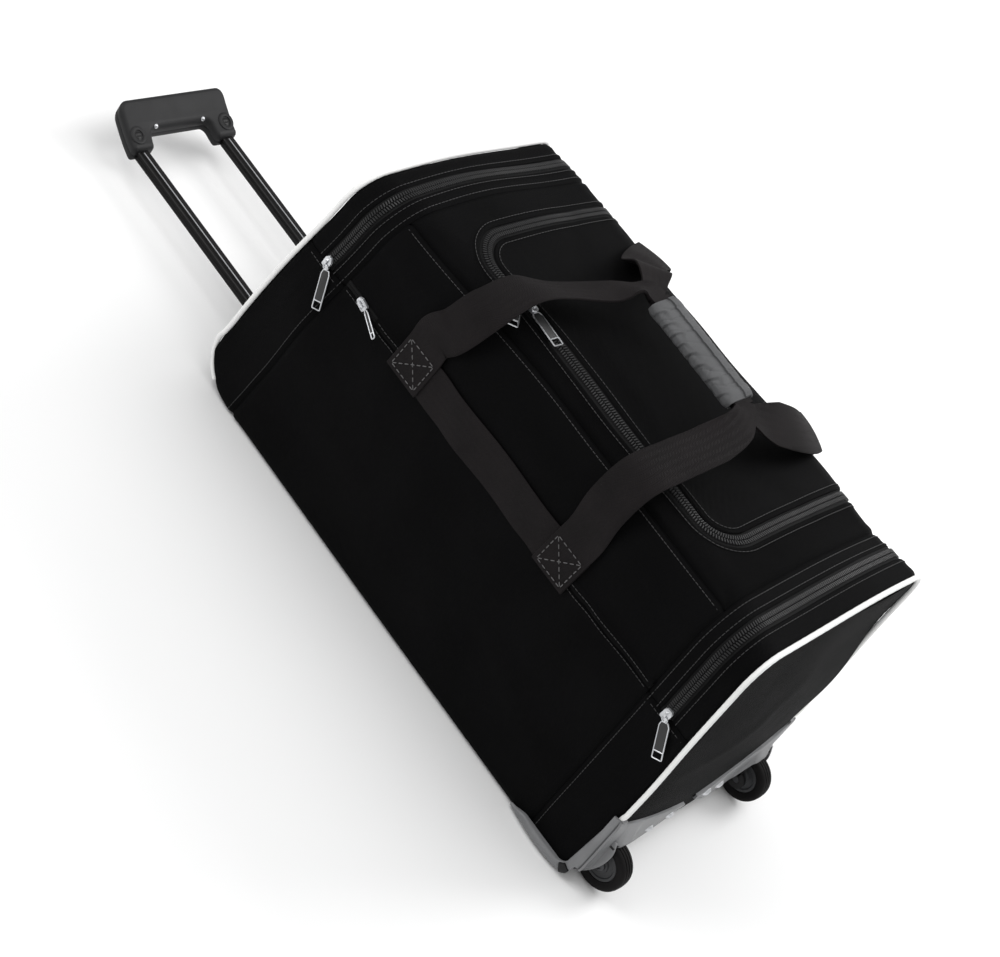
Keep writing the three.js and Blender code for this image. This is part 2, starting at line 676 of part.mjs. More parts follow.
// Middle line of each free strap, from above its sewn box to the wrap, written as if all were on the front
// side: place, direction of its width, and how far it is folded in two
const STRAPS = {
  front: {
    handle: [
      { x: -133, y: -174, z: 326, wide: [1, 0, 0.1], fold: 0 },
      { x: -124, y: -164, z: 370, wide: [1, 0.1, 0.2], fold: 0 },
      { x: -122, y: -126, z: 393, wide: [0.95, 0, 0.3], fold: 0 },
      { x: -106, y: -80, z: 398, wide: [0.85, -0.2, 0.45], fold: 0.3 },
      { x: -80, y: -38, z: 415, wide: [0.8, -0.5, 0.2], fold: 0.6 },
      { x: -66, y: -11, z: 430, wide: [0, -1, 0], fold: 1 },
    ],
    wheel: [
      { x: 104, y: -172, z: 345, wide: [1, 0, -0.05], fold: 0 },
      { x: 103, y: -158, z: 386, wide: [1, 0, 0], fold: 0 },
      { x: 107, y: -112, z: 405, wide: [1, 0.05, 0.1], fold: 0 },
      { x: 110, y: -66, z: 417, wide: [0.95, 0.25, 0.2], fold: 0 },
      { x: 108, y: -31, z: 427, wide: [0.8, 0.6, 0.1], fold: 0.5 },
      { x: 97, y: -10, z: 430, wide: [0, 1, 0], fold: 1 },
    ],
  },
  back: {
    handle: [
      { x: -142, y: -173, z: 322, wide: [1, 0, 0.1], fold: 0 },
      { x: -136, y: -152, z: 357, wide: [1, 0, 0.2], fold: 0 },
      { x: -126, y: -110, z: 377, wide: [0.9, -0.3, 0.2], fold: 0 },
      { x: -112, y: -72, z: 388, wide: [0.8, -0.55, 0.15], fold: 0 },
      { x: -92, y: -44, z: 417, wide: [0.72, -0.68, 0.16], fold: 0.3 },
      { x: -76, y: -24, z: 421, wide: [0.5, -0.85, 0.1], fold: 0.8 },
      { x: -64, y: -9, z: 422, wide: [0, -1, 0], fold: 1 },
    ],
    wheel: [
      { x: 114, y: -173, z: 338, wide: [1, 0, -0.05], fold: 0 },
      { x: 124, y: -154, z: 372, wide: [1, 0, -0.15], fold: 0 },
      { x: 132, y: -112, z: 396, wide: [0.95, 0, -0.3], fold: 0 },
      { x: 130, y: -78, z: 410, wide: [0.9, 0.1, -0.4], fold: 0 },
      { x: 118, y: -42, z: 418, wide: [0.75, 0.25, -0.45], fold: 0.1 },
      { x: 99, y: -9, z: 421.5, wide: [0, 1, 0], fold: 1 },
    ],
  },
};
const SEWN_RUN = 24; // a strap lies on the yoke this far above its box
const WRAP_REACH = 2; // the webbing comes this far out of the wrap before it turns
const SEWN_LIFT = 3.4; // a strap's middle above the wall where it is sewn over the band

// Four corners of the webbing at each step of a strap, wide and thin or folded narrow and thick.
function strapMesh(rows) {
  const smooth = (list) => new THREE.CatmullRomCurve3(list, false, "centripetal");
  const line = smooth(rows.map((row) => vec(row.x, row.y, row.z)));
  const wide = smooth(rows.map((row) => vec(...row.wide)));
  const frames = steps(0, 1, (rows.length - 1) * 2).map((t) => {
    const place = t * (rows.length - 1);
    const row = Math.min(Math.floor(place), rows.length - 2);
    const fold = lerp(rows[row].fold, rows[row + 1].fold, place - row);
    const ahead = line.getTangent(t);
    const side = wide.getPoint(t);
    side.addScaledVector(ahead, -side.dot(ahead)).normalize();
    const up = side.clone().cross(ahead);
    side.multiplyScalar(lerp(WEBBING.width, FOLDED.width, fold) / 2);
    up.multiplyScalar(lerp(WEBBING.thick, FOLDED.thick, fold) / 2);
    return { point: line.getPoint(t), side, up };
  });
  return sweep(frames, [
    [-1, -1],
    [1, -1],
    [1, 1],
    [-1, 1],
  ]);
}

// A place on the yoke over a sewn box, lifted off the wall.
function sewnRow(x, z) {
  const u = x / (1 - TAPER * z);
  const cell = bagCell(u, wallStation(u, z));
  const { x: px, y, z: pz } = cell.point.addScaledVector(cell.normal, SEWN_LIFT);
  return { x: px, y, z: pz, wide: [1, 0, 0], fold: 0 };
}

// One handle of webbing: a band along the yoke, a strap up from each end of it over the shoulder, and
// the folded stretch inside the wrap.
function webbing(mirror) {
  const { width, thick, lift } = WEBBING;
  const bandX = steps(BOX_X[0] - width / 2, BOX_X[1] + width / 2, 8);
  const bandGrid = bandX.map((x) =>
    steps(BOX_Z - width / 2, BOX_Z + width / 2, 2).map((z) => {
      const u = x / (1 - TAPER * z);
      const cell = bagCell(u, wallStation(u, z));
      cell.point.addScaledVector(cell.normal, lift + thick);
      return cell;
    }),
  );
  const level = mirror ? -FOLDED.apart : FOLDED.apart;
  const made = [slab(bandGrid, thick)];
  Object.values(mirror ? STRAPS.back : STRAPS.front).forEach((rows, i) => {
    const top = BOX_Z + width / 2;
    const sewn = [BOX_Z - width / 2, BOX_Z, top, top + SEWN_RUN].map((z) => sewnRow(BOX_X[i], z));
    const end = i === 0 ? WRAP.left - WRAP_REACH : WRAP.right + WRAP_REACH;
    const last = { ...rows[rows.length - 1], x: end, y: 0, z: WRAP.z + level };
    made.push(strapMesh([...sewn, ...rows, last]));
  });
  const half = vec(0, FOLDED.width / 2, FOLDED.thick / 2);
  const middle = vec(0, 0, WRAP.z + level);
  const inside = block(
    middle.clone().sub(half).setX(WRAP.left - 2 * WRAP_REACH),
    middle.clone().add(half).setX(WRAP.right + 2 * WRAP_REACH),
  );
  const whole = join(...made, inside);
  return mirror ? mirrored(whole) : whole;
}

// A mesh reflected to the other long side.
function mirrored(geometry) {
  const copy = geometry.clone().applyMatrix4(new THREE.Matrix4().makeScale(1, -1, 1));
  const order = Array.from(copy.index.array);
  return copy.setIndex(order.reverse());
}

// The padded wrap that holds both handles: a flattened tube, open at its ends.
function wrap() {
  const { left, right, z, half, deep, wall } = WRAP;
  const ring = (shrink) =>
    steps(0, 2 * Math.PI, 16).slice(1).map((a) => {
      const square = (v) => Math.sign(v) * Math.abs(v) ** 0.6;
      return [(half - shrink) * square(Math.cos(a)), (deep - shrink) * square(Math.sin(a))];
    });
  const frames = (from, to) =>
    [from, to].map((x) => ({ point: vec(x, 0, z), side: vec(0, 1, 0), up: vec(0, 0, 1) }));
  return cut(sweep(frames(left, right), ring(0)), sweep(frames(left - 1, right + 1), ring(wall)));
}

// Tow handle

function rodProfile(grow) {
  const wide = ROD.wide / 2 + grow;
  const tall = ROD.tall / 2 + grow;
  const bevel = ROD.bevel;
  const corner = (y, z) => [
    [y * wide, z * (tall - bevel)],
    [y * (wide - bevel), z * tall],
  ];
  return [
    ...corner(1, 1),
    ...corner(-1, 1).reverse(),
    ...corner(-1, -1),
    ...corner(1, -1).reverse(),
  ];
}

function rodAlong(from, to, y, grow = 0) {
  const [side, up] = [vec(0, 1, 0), vec(0, 0, 1)];
  return sweep([from, to].map((x) => ({ point: vec(x, y, ROD.z), side, up })), rodProfile(grow));
}

// A guide rail: a tube round the rod on a web and a foot that stand on the base.
function guideRail(y) {
  const { wall, play, outer, inner, web } = RAIL;
  const grow = play + wall;
  const low = BASE_BOARD + CLEAR;
  const half = ROD.wide / 2 + grow;
  const stem = block(vec(outer, y - web / 2, low), vec(inner, y + web / 2, ROD.z - ROD.tall / 2 - grow + 1));
  const foot = block(vec(outer, y - half, low), vec(inner, y + half, low + wall));
  const tube = join(rodAlong(outer, inner, y, grow), stem, foot);
  return cut(tube, rodAlong(outer - 1, inner + 1, y, play));
}

// The plate that the rod comes out of, on the handle end.
function mouthPlate(y, end) {
  const { half, tall, thick } = MOUTH;
  const grid = steps(-1, 1, 6).map((v) =>
    steps(-1, 1, 1).map((h) => {
      const cell = endCell(end, y + h * half, ROD.z + v * tall);
      cell.point.addScaledVector(cell.normal, SEAM + thick);
      return cell;
    }),
  );
  return cut(slab(grid, thick), rodAlong(...MOUTH_RUN, y, RAIL.play));
}

// How far the grip has curved up at a place along it.
function gripRise(x) {
  const { near, far } = GRIP;
  return GRIP_BEND.rise * clamp((near - x) / (near - far), 0, 1) ** GRIP_BEND.power;
}

// The staple-shaped grip: a bar with a round corner at each side and a leg on each rod, drawn from above
// and then curved up.
function grip() {
  const { half, far, near, bar: depth, leg, thick, bevel, round, splay } = GRIP;
  const [low, high] = [far + bevel, near - bevel];
  const out = half - bevel;
  const inside = half - leg + bevel;
  const hollow = far + depth - bevel;
  const shape = new THREE.Shape();
  const outer = steps(high, low + round, 4);
  shape.moveTo(high, -out);
  shape.lineTo(high, -inside);
  shape.lineTo(hollow, -inside + splay);
  shape.lineTo(hollow, inside - splay);
  shape.lineTo(high, inside);
  outer.forEach((x) => shape.lineTo(x, out));
  shape.absarc(low + round, out - round, round, Math.PI / 2, Math.PI, false);
  shape.absarc(low + round, -out + round, round, Math.PI, Math.PI * 1.5, false);
  outer.slice(1, -1).reverse().forEach((x) => shape.lineTo(x, -out));
  const geometry = new THREE.ExtrudeGeometry(shape, {
    depth: thick - 2 * bevel,
    bevelThickness: bevel,
    bevelSize: bevel,
    bevelSegments: 1,
    curveSegments: 4,
  });
  geometry.translate(0, 0, ROD.z - thick / 2 + bevel);
  const places = geometry.getAttribute("position");
  for (let i = 0; i < places.count; i++) {
    places.setZ(i, places.getZ(i) + gripRise(places.getX(i)));
  }
  return geometry;
}

// The middle of the sloping edge between the bar's top and its inner side.
function gripEdge(y) {
  const { far, bar: depth, thick, bevel } = GRIP;
  const top = vec(far + depth - bevel, y, ROD.z + thick / 2);
  const side = vec(far + depth, y, top.z - bevel);
  [top, side].forEach((point) => (point.z += gripRise(point.x)));
  const normal = vec(top.z - side.z, 0, side.x - top.x).normalize();
  return { point: top.lerp(side, 0.5), normal };
}

// Wheels and guards

// Round clearance of a wheel, in side view, carried along Y.
const wheelRoom = (radius, from, to) => bar(radius, from, to, WHEEL.x, WHEEL.z, 28);

// The strip of a guard on the front wall: a bumper inside the wall's edge from the base, round the foot
// and up the end.
function guardStrip() {
  const radius = CORNER.wheel;
  const turns = steps(0, Math.PI / 2, 5);
  const edge = [
    ...steps(STRIP.start, HALF - radius, 3).slice(0, -1).map((u) => ({ u, z: 0, turn: 0 })),
    ...turns.map((turn) => ({
      u: HALF - radius * (1 - Math.sin(turn)),
      z: radius * (1 - Math.cos(turn)),
      turn,
    })),
    ...steps(radius, GUARD.top, 4).slice(1).map((z) => ({ u: HALF, z, turn: Math.PI / 2 })),
  ];
  const grid = edge.map(({ u, z, turn }, i) => {
    const swell = STRIP.swell * Math.sin((Math.PI * (u - STRIP.start)) / (HALF - STRIP.start));
    const upper = lerp(STRIP.wide, STRIP.top, clamp((z - radius) / (GUARD.top - radius), 0, 1));
    const wide = i === 0 ? STRIP.narrow : upper;
    return steps(STRIP.low, wide, 2).map((inward) => {
      const along = u - inward * Math.sin(turn);
      const { point, normal } = bagCell(along, stationAt(along, z + inward * Math.cos(turn)));
      const depth = GUARD.wall + swell;
      return { point: point.addScaledVector(normal, GUARD.lift + depth), normal, depth };
    });
  });
  return slab(grid, GUARD.wall);
}

// The upright edge of a guard: a quarter turn about the body's corner, from the strip to the wing.
function guardCorner() {
  const lap = 6; // it reaches this far over the strip
  const grid = steps(GUARD.foot + EDGE_RADIUS, GUARD.top, 2).map((z) => {
    const edge = bagPoint(HALF, stationAt(HALF, z));
    return [[-lap, 0], [0, 0], [0, Math.PI / 4], [0, Math.PI / 2]].map(([along, turn]) => {
      const normal = vec(Math.sin(turn), -Math.cos(turn), 0);
      const point = edge.clone().addScaledVector(normal, GUARD.lift + GUARD.wall);
      return { point: point.add(vec(along, 0, 0)), normal };
    });
  });
  return slab(grid, GUARD.wall);
}

// The wing of a guard on the end panel: a leaf that flares out over the wheel.
const WING_ROWS = [0, 0.12, 0.26, 0.6, 1];

function guardWing(end) {
  const middle = WING_FOOT[WING_FOOT.length - 1].y;
  const grid = WING_FOOT.map((foot) => {
    const run = (foot.y - GUARD.side) / (middle - GUARD.side);
    const topY = lerp(GUARD.side, GUARD.tip, run);
    const topZ = lerp(GUARD.top, GUARD.tipTop, run ** 0.85);
    return WING_ROWS.map((q) => {
      const y = lerp(foot.y, topY, q);
      const cell = endCell(end, y, lerp(foot.z, topZ, q));
      const over = smoothstep(y, -158, -138) * (1 - smoothstep(y, -124, -100));
      cell.point.addScaledVector(cell.normal, GUARD.lift + GUARD.wall);
      cell.point.x += GUARD.flare * over * (1 - q) ** 1.5;
      return cell;
    });
  });
  return slab(grid, GUARD.wall);
}

// The housing of a wheel: an arch between two cheeks inside the corner, the inner one carrying the axle.
function guardHousing() {
  const { room, outer, cheek, side, boss, bossThick, end } = HOUSING;
  const seat = -cheek - GUARD.wall - bossThick;
  const back = WHEEL.x - 2 * outer;
  const over = WHEEL.z + 2 * outer;
  const outline = [[back, 1], ...FOOT_CURVE, [end, over], [back, over]];
  const shape = new THREE.Shape(outline.map(([x, z]) => new THREE.Vector2(x, z)));
  const corner = new THREE.ExtrudeGeometry(shape, { depth: side - cheek + 2, bevelEnabled: false });
  corner.rotateX(Math.PI / 2).translate(0, 1 - cheek, 0);
  const roof = block(vec(back, -side - 1, GUARD.lip - 8), vec(WHEEL.x + 1, -cheek + 1, over));
  const kept = toSolid(join(corner, roof));
  const drum = fromSolid(toSolid(wheelRoom(outer, -side, -cheek)).intersect(kept));
  const hollow = cut(drum, wheelRoom(room, -side + GUARD.wall, seat));
  const pad = bar(boss, seat, -cheek, WHEEL.x, WHEEL.z, 16);
  const bore = bar(WHEEL.axle + CLEAR, seat - 1, -cheek + 1, WHEEL.x, WHEEL.z, 12);
  return cut(join(hollow, pad), bore);
}

function guard(end) {
  return join(guardHousing(), guardWing(end), guardStrip(), guardCorner());
}

// A wheel's tyre and hub are turned about the axle.
function turned(profile, y, sides) {
  const geometry = new THREE.LatheGeometry(profile.map(([r, h]) => new THREE.Vector2(r, h)), sides);
  const closed = mergeVertices(geometry.deleteAttribute("normal").deleteAttribute("uv"), WELD);
  return closed.translate(WHEEL.x, y, WHEEL.z);
}

function wheel(label, sign) {
  const { radius, half, hub, axle } = WHEEL;
  const y = sign * WHEEL.y;
  const bore = axle + CLEAR;
  const rim = hub - CLEAR;
  const tyre = [
    [hub, -half + 2],
    [radius - 4, -half],
    [radius - 1, -half + 3],
    [radius, 0],
    [radius - 1, half - 3],
    [radius - 4, half],
    [hub, half - 2],
    [hub, -half + 2],
  ];
  const core = [
    [bore, -half + 1],
    [9, -half + 1],
    [rim, -half + 3],
    [rim, half - 3],
    [9, half - 1],
    [bore, half - 1],
    [bore, -half + 1],
  ];
  add("tyre_" + label, turned(tyre, y, 24), TYRE_BLACK);
  add("hub_" + label, turned(core, y, 20), HUB_GREY);
  const out = WHEEL.y + half;
  const pin = bar(axle, -out - 0.5, -HOUSING.cheek, WHEEL.x, WHEEL.z, 12);
  const cap = bar(7, -out - 2, -out + 1 - CLEAR, WHEEL.x, WHEEL.z, 12);
  const made = join(pin, cap);
  add("axle_" + label, sign < 0 ? made : mirrored(made), SILVER);
}

// Room that the wheel housings take out of the end panel.
const housingRooms = [-1, 1].map((sign) => {
  const sides = [HOUSING.cheek - SEAM, HOUSING.side + SEAM].map((y) => sign * y).sort((a, b) => a - b);
  return wheelRoom(HOUSING.outer + SEAM, ...sides);
});

// Assembly

add("base_panel", basePanel(), CLOTH_BLACK);
longWall({ wall: "pocket_panel", yoke: "front_yoke" }, false);
longWall({ wall: "back_panel", yoke: "back_yoke" }, true);
add("top_frame", topFrame(), CLOTH_BLACK);
add("lid", lid(), CLOTH_BLACK);
add("lid_zip", sweep(layFrames(lidPath(0)), COIL), ZIP_BLACK);
const pocketZipU = WALL_U.filter((u, i) => i % 2 === 0);
const pocketZip = pocketZipU.map((u) => ({ u, s: wallStation(u, POCKET_ZIP_Z) }));
add("pocket_zip", sweep(layFrames(pocketZip), HIDDEN_ZIP), ZIP_BLACK);

for (const end of ENDS) {
  const { name, sign } = end;
  add("end_lower_front_" + name, lowerPiece(sign, false), CLOTH_BLACK);
  add("end_lower_back_" + name, lowerPiece(sign, true), CLOTH_BLACK);
  add("end_inner_" + name, endStrip(sign, END_SEAM + SEAM / 2), CLOTH_BLACK);
  add("end_outer_" + name, endStrip(sign, HALF - PIPING_ROOM), CLOTH_BLACK);
  const zipStations = endStations(sign * END_ZIP_U, END_ZIP_Z + SEAM);
  const zipPlaces = zipStations.map((s) => ({ u: sign * END_ZIP_U, s }));
  add("end_zip_" + name, sweep(layFrames(zipPlaces), COIL), ZIP_BLACK);
  const rods = [-1, 1].map((side) => rodAlong(...MOUTH_RUN, side * ROD.y, RAIL.play));
  const tools = name === "wheel" ? housingRooms : rods;
  add("end_panel_" + name, cut(endPanel(end), ...tools), CLOTH_BLACK);
  add("piping_" + name, piping(end), PIPING_WHITE);
}
pulls();

add("webbing_front", webbing(false), WEBBING_BLACK);
add("webbing_back", webbing(true), WEBBING_BLACK);
add("handle_wrap", wrap(), WRAP_GREY);

for (const [label, side] of [["front", -1], ["back", 1]]) {
  const y = side * ROD.y;
  add("tow_rod_" + label, rodAlong(GRIP.near + CLEAR, ROD.inner, y), TUBE_BLACK);
  add("guide_rail_" + label, guideRail(y), HOUSING_BLACK);
  add("mouth_plate_" + label, mouthPlate(y, ENDS[0]), HOUSING_BLACK);
  wheel(label, side);
  const corner = guard(ENDS[1]);
  add("guard_" + label, side < 0 ? corner : mirrored(corner), GUARD_GREY);
}
add("tow_grip", grip(), GRIP_GREY);

const disc = new THREE.Shape().absarc(0, 0, RIVET.radius, 0, 2 * Math.PI);
const stud = new THREE.Shape().absarc(0, 0, GRIP_RIVET.radius, 0, 2 * Math.PI);
for (const [label, side] of [["front", 1], ["back", -1]]) {
  GUARD_RIVETS.forEach(({ y, z }, i) => {
    const cell = endCell(ENDS[1], side * y, z);
    const lift = GUARD.lift + GUARD.wall + CLEAR;
    standOn(`guard_rivet_${label}_${i + 1}`, disc, RIVET.thick, cell, vec(0, 1, 0), lift, SILVER);
  });
  const edge = gripEdge(-side * GRIP_RIVET.y);
  standOn("grip_rivet_" + label, stud, RIVET.thick, edge, vec(0, 1, 0), CLEAR, SILVER);
}

export default bag;
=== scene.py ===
"""Dresses the wheeled kit bag: a sewn cloth shell with its zips, trim, carry straps, tow handle and wheels.

Sizes are in millimetres until a mesh is made, and a mesh is in metres. X runs from the tow handle (-X) to
the wheels (+X), the pocket side faces -Y, and the origin is the middle of the base's underside.
"""
import math

import bmesh
import bpy
import numpy as np
from mathutils import Matrix


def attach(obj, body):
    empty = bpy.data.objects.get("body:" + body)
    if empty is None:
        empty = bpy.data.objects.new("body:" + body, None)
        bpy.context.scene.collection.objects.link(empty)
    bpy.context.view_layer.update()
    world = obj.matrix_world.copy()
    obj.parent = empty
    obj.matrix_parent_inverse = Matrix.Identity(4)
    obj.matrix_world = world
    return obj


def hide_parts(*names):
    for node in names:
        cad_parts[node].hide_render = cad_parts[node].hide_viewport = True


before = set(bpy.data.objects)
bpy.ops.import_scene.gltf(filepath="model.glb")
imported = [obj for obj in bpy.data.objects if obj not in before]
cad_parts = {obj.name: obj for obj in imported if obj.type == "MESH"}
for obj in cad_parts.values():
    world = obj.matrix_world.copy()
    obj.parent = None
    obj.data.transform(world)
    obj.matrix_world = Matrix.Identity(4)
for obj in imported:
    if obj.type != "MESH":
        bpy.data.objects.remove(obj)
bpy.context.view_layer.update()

MM = 0.001
QUARTER = np.pi / 2

# The body: its sections along the base, as half width, height, shoulder radius and swell of the long walls
HALF = 350.0
TAPER = 32 / (350 * HALF)
BODY_U = np.array([-350.0, -275.0, 0.0, 275.0, 350.0])
BODY = {
    "half": np.array([166.0, 167.0, 168.0, 167.0, 166.0]),
    "height": np.array([350.0, 360.0, 373.0, 376.0, 374.0]),
    "shoulder": np.array([42.0, 52.0, 84.0, 54.0, 42.0]),
    "belly": np.array([0.0, 3.0, 8.0, 3.0, 0.0]),
}
EDGE_RADIUS = 10.0
CROWN = 5.0
CORNER = {-1: 60.0, 1: 25.0}
END_BULGE = {-1: 6.0, 1: 10.0}
BULGE_HALF = 170.0
CLOTH = 2.5
SEAM = 0.4
END_NAMES = {-1: "handle", 1: "wheel"}
SIDE_NAMES = {-1: "front", 1: "back"}

# Seams and zips
END_SEAM = 278.5
POCKET_ZIP_Z = 250.0
POCKET_ZIP_HALF = 4.0
SHOULDER_SEAM = 3.56
END_ZIP_U = 311.0
END_ZIP_Z = 243.0
ZIP_ROOM = 8.0
LID = {"left": -206.0, "right": 202.0, "front": -107.0, "radius": 42.0}
LID_STEPS = {"side": 30, "corner": 14, "front": 44}
PIPING = {"radius": 3.0, "sink": 1.0, "room": 3.9, "foot": 0.17 * np.pi, "tuck": 2.8}

# Carry handles
WEBBING = {"width": 48.0, "thick": 2.0, "lift": 1.0}
BOX_X = (-144.0, 109.0)
BOX_Z = 259.0
FOLDED = {"width": 26.0, "thick": 3.6, "apart": 2.6}
WRAP = {"left": -46.0, "right": 84.0, "z": 426.0, "half": 24.0, "deep": 9.0}

# Tow handle
ROD = {"y": 69.0, "z": 36.5, "wide": 18.0, "tall": 12.0, "round": 3.2, "inner": -225.0, "play": 0.6}
GRIP = {"half": 84.0, "far": -672.0, "near": -616.0, "bar": 34.0, "leg": 32.0, "thick": 22.0, "splay": 5.0}
GRIP_BEND = {"rise": 25.0, "power": 1.3}
GRIP_EDGE = 6.0
GRIP_CORNERS = (5.0, 5.0, 9.0, 9.0, 5.0, 5.0, 12.0, 12.0)
GRIP_STUD_Y = 38.0
GRIP_STUD = {"wide": 3.0, "long": 3.0, "high": 1.6, "foot": -0.8}
GRIP_LUG = {"x": -632.0, "y": 71.0}
GRIP_SCREW = {"wide": 5.2, "long": 5.2, "high": 1.0, "foot": -0.4, "slot": 0.7}
MOUTH = {"half": 22.0, "tall": 17.0, "round": 7.0}

# Wheels and guards
WHEEL = {"x": 356.0, "y": 135.0, "z": 33.0}
GUARD = {
    "wall": 2.6, "lift": 1.0, "top": 113.0, "foot": 26.0,
    "side": -168.0, "tip": -12.0, "tip_top": 62.0, "flare": 8.0, "lap": 8.0,
}
STRIP = {"start": 251.0, "low": 4.5, "narrow": 7.5, "wide": 14.0, "top": 6.5, "swell": 5.0}
HOUSING = {
    "room": 34.0, "outer": 37.0, "cheek": 116.0, "side": 152.0, "boss": 11.0, "bore": 4.4,
    "arch": (math.radians(92), math.radians(239)),
}

# Foot line of a guard's wing: its place across the bag, and its height
WING_FOOT_Y = np.array([-168.0, -152, -148, -135, -116, -108, -98, -78, -50, -24, -10])
WING_FOOT_Z = np.array([26.0, 26, 66, 66, 66, 38, 24, 20, 30, 48, 57])
FLARE_Y = ((-158, -138), (-124, -100))
GUARD_RIVETS = ((-68.0, 50.0), (-36.0, 56.0))
GUARD_RIVET = {"wide": 4.8, "long": 7.0, "high": 3.4, "foot": -0.5, "slot": 0.9}
RIVET_LEAN = 0.3
INSERT = {"turn": (0.55, 1.15), "inward": (4.8, 13.6), "proud": 0.9, "thick": 2.5}


# Numbers and vectors

def rise(x, low, high):
    """Smooth step: 0 below low, 1 above high, and 3t^2 - 2t^3 between them."""
    t = np.clip((x - low) / (high - low), 0, 1)
    return t * t * (3 - 2 * t)


def mix(a, b, q):
    """Straight blend from a to b."""
    return a + (b - a) * q


def unit(v):
    """Vectors scaled to length one."""
    return v / np.maximum(np.linalg.norm(v, axis=-1, keepdims=True), 1e-9)


def vec(*xyz):
    """One point or direction."""
    return np.array(xyz, float)


def lengths(points, axis=0):
    """Distance run along a grid's axis, from zero at its first point."""
    step = np.linalg.norm(np.diff(points, axis=axis), axis=-1)
    start = np.zeros_like(np.take(step, [0], axis=axis))
    return np.concatenate([start, np.cumsum(step, axis=axis)], axis=axis)


def spaced(length, step, near=(0.0, 1.0, 2.2, 3.8, 6.0, 9.0)):
    """Shares from 0 to 1 of a length: even steps in the middle and close ones beside both edges."""
    edge = np.array([d for d in near if d < length * 0.4])
    middle = np.linspace(edge[-1], length - edge[-1], max(int(length / step), 2))
    return np.concatenate([edge[:-1], middle, length - edge[-2::-1]]) / length


# Meshes: a part is its points, a list of face arrays of equal width, and a UV place for each point

def cells(rows, columns, ring=False, loop=False):
    """Quads between neighbouring points of a grid. A ring joins the last column to the first, and a loop
    joins the last row to the first."""
    i, j = np.meshgrid(
        np.arange(rows if loop else rows - 1), np.arange(columns if ring else columns - 1), indexing="ij"
    )
    a, b = (i + 1) % rows, (j + 1) % columns
    corners = [i * columns + j, i * columns + b, a * columns + b, a * columns + j]
    return np.stack(corners, -1).reshape(-1, 4)


def grid_part(points, ring=False, loop=False, caps=True, uv=None):
    """The skin of a grid of points. A ring that isn't a loop is closed by a cap at its first and last row."""
    rows, columns = points.shape[:2]
    faces = [cells(rows, columns, ring, loop)]
    if ring and caps and not loop:
        faces += [np.arange(columns)[None, ::-1], np.arange(columns)[None] + (rows - 1) * columns]
    flat = np.zeros((rows * columns, 2)) if uv is None else uv.reshape(-1, 2)
    return points.reshape(-1, 3), faces, flat


def sheet_part(outer, inner, uv=None):
    """A closed wall: an outer grid, the inner grid turned round, and a rim of quads along their border."""
    rows, columns = outer.shape[:2]
    count = rows * columns
    face = cells(rows, columns)
    at = np.arange(count).reshape(rows, columns)
    rim = np.concatenate([at[0, :-1], at[:-1, -1], at[-1, :0:-1], at[:0:-1, 0]])
    after = np.roll(rim, -1)
    side = np.stack([rim, rim + count, after + count, after], -1)
    flat = np.zeros((count, 2)) if uv is None else uv.reshape(-1, 2)
    points = np.concatenate([outer.reshape(-1, 3), inner.reshape(-1, 3)])
    return points, [face, face[:, ::-1] + count, side], np.concatenate([flat, flat])


def swept(centre, side, up, profile, loop=False, uv=None):
    """A closed profile carried along a path: centre + side * its x + up * its y."""
    profile = np.asarray(profile, float)
    if profile.ndim == 2:
        profile = profile[None]
    points = centre[:, None] + side[:, None] * profile[..., 0:1] + up[:, None] * profile[..., 1:2]
    return grid_part(points, ring=True, loop=loop, uv=uv)


def joined(*parts):
    """Several parts as one."""
    points, faces, uvs, start = [], [], [], 0
    for p, f, uv in parts:
        points.append(p)
        faces += [face + start for face in f]
        uvs.append(uv)
        start += len(p)
    return np.concatenate(points), faces, np.concatenate(uvs)


def copies(shape, origin, side, ahead, up):
    """A small shape set down many times: each point is origin + x side + y ahead + z up."""
    points, faces, uv = shape
    placed = (
        origin[:, None]
        + points[None, :, 0:1] * side[:, None]
        + points[None, :, 1:2] * ahead[:, None]
        + points[None, :, 2:3] * up[:, None]
    )
    shift = (np.arange(len(origin)) * len(points))[:, None, None]
    spread = [(face[None] + shift).reshape(-1, face.shape[1]) for face in faces]
    return placed.reshape(-1, 3), spread, np.tile(uv, (len(origin), 1))


def set_at(shape, origin, side, ahead, up):
    """A shape set down once."""
    return copies(shape, origin[None], side[None], ahead[None], up[None])


def mirrored(part):
    """A part reflected to the other long side."""
    points, faces, uv = part
    return points * vec(1, -1, 1), [face[:, ::-1] for face in faces], uv


def rounded(corners, radii, inset=0.0, steps=6):
    """A flat outline with its sides moved in by the inset and each corner an arc that meets both sides."""
    corners = np.asarray(corners, float)
    radii = np.broadcast_to(np.asarray(radii, float), len(corners))
    ahead = unit(np.roll(corners, -1, axis=0) - corners)
    before = np.roll(ahead, 1, axis=0)
    left = np.stack([-ahead[:, 1], ahead[:, 0]], -1)
    left_before = np.roll(left, 1, axis=0)
    moved = corners + inset * (left + left_before) / (1 + (left * left_before).sum(-1, keepdims=True))
    turn = np.arctan2(
        before[:, 0] * ahead[:, 1] - before[:, 1] * ahead[:, 0], (before * ahead).sum(-1)
    )
    radius = np.maximum(radii - np.sign(turn) * inset, 0.05)
    start = moved - before * (radius * np.tan(np.abs(turn) / 2))[:, None]
    centre = start + left_before * (np.sign(turn) * radius)[:, None]
    angle = turn[:, None] * np.linspace(0, 1, steps + 1)
    arm = start - centre
    x = arm[:, None, 0] * np.cos(angle) - arm[:, None, 1] * np.sin(angle)
    y = arm[:, None, 0] * np.sin(angle) + arm[:, None, 1] * np.cos(angle)
    return (centre[:, None] + np.stack([x, y], -1)).reshape(-1, 2)


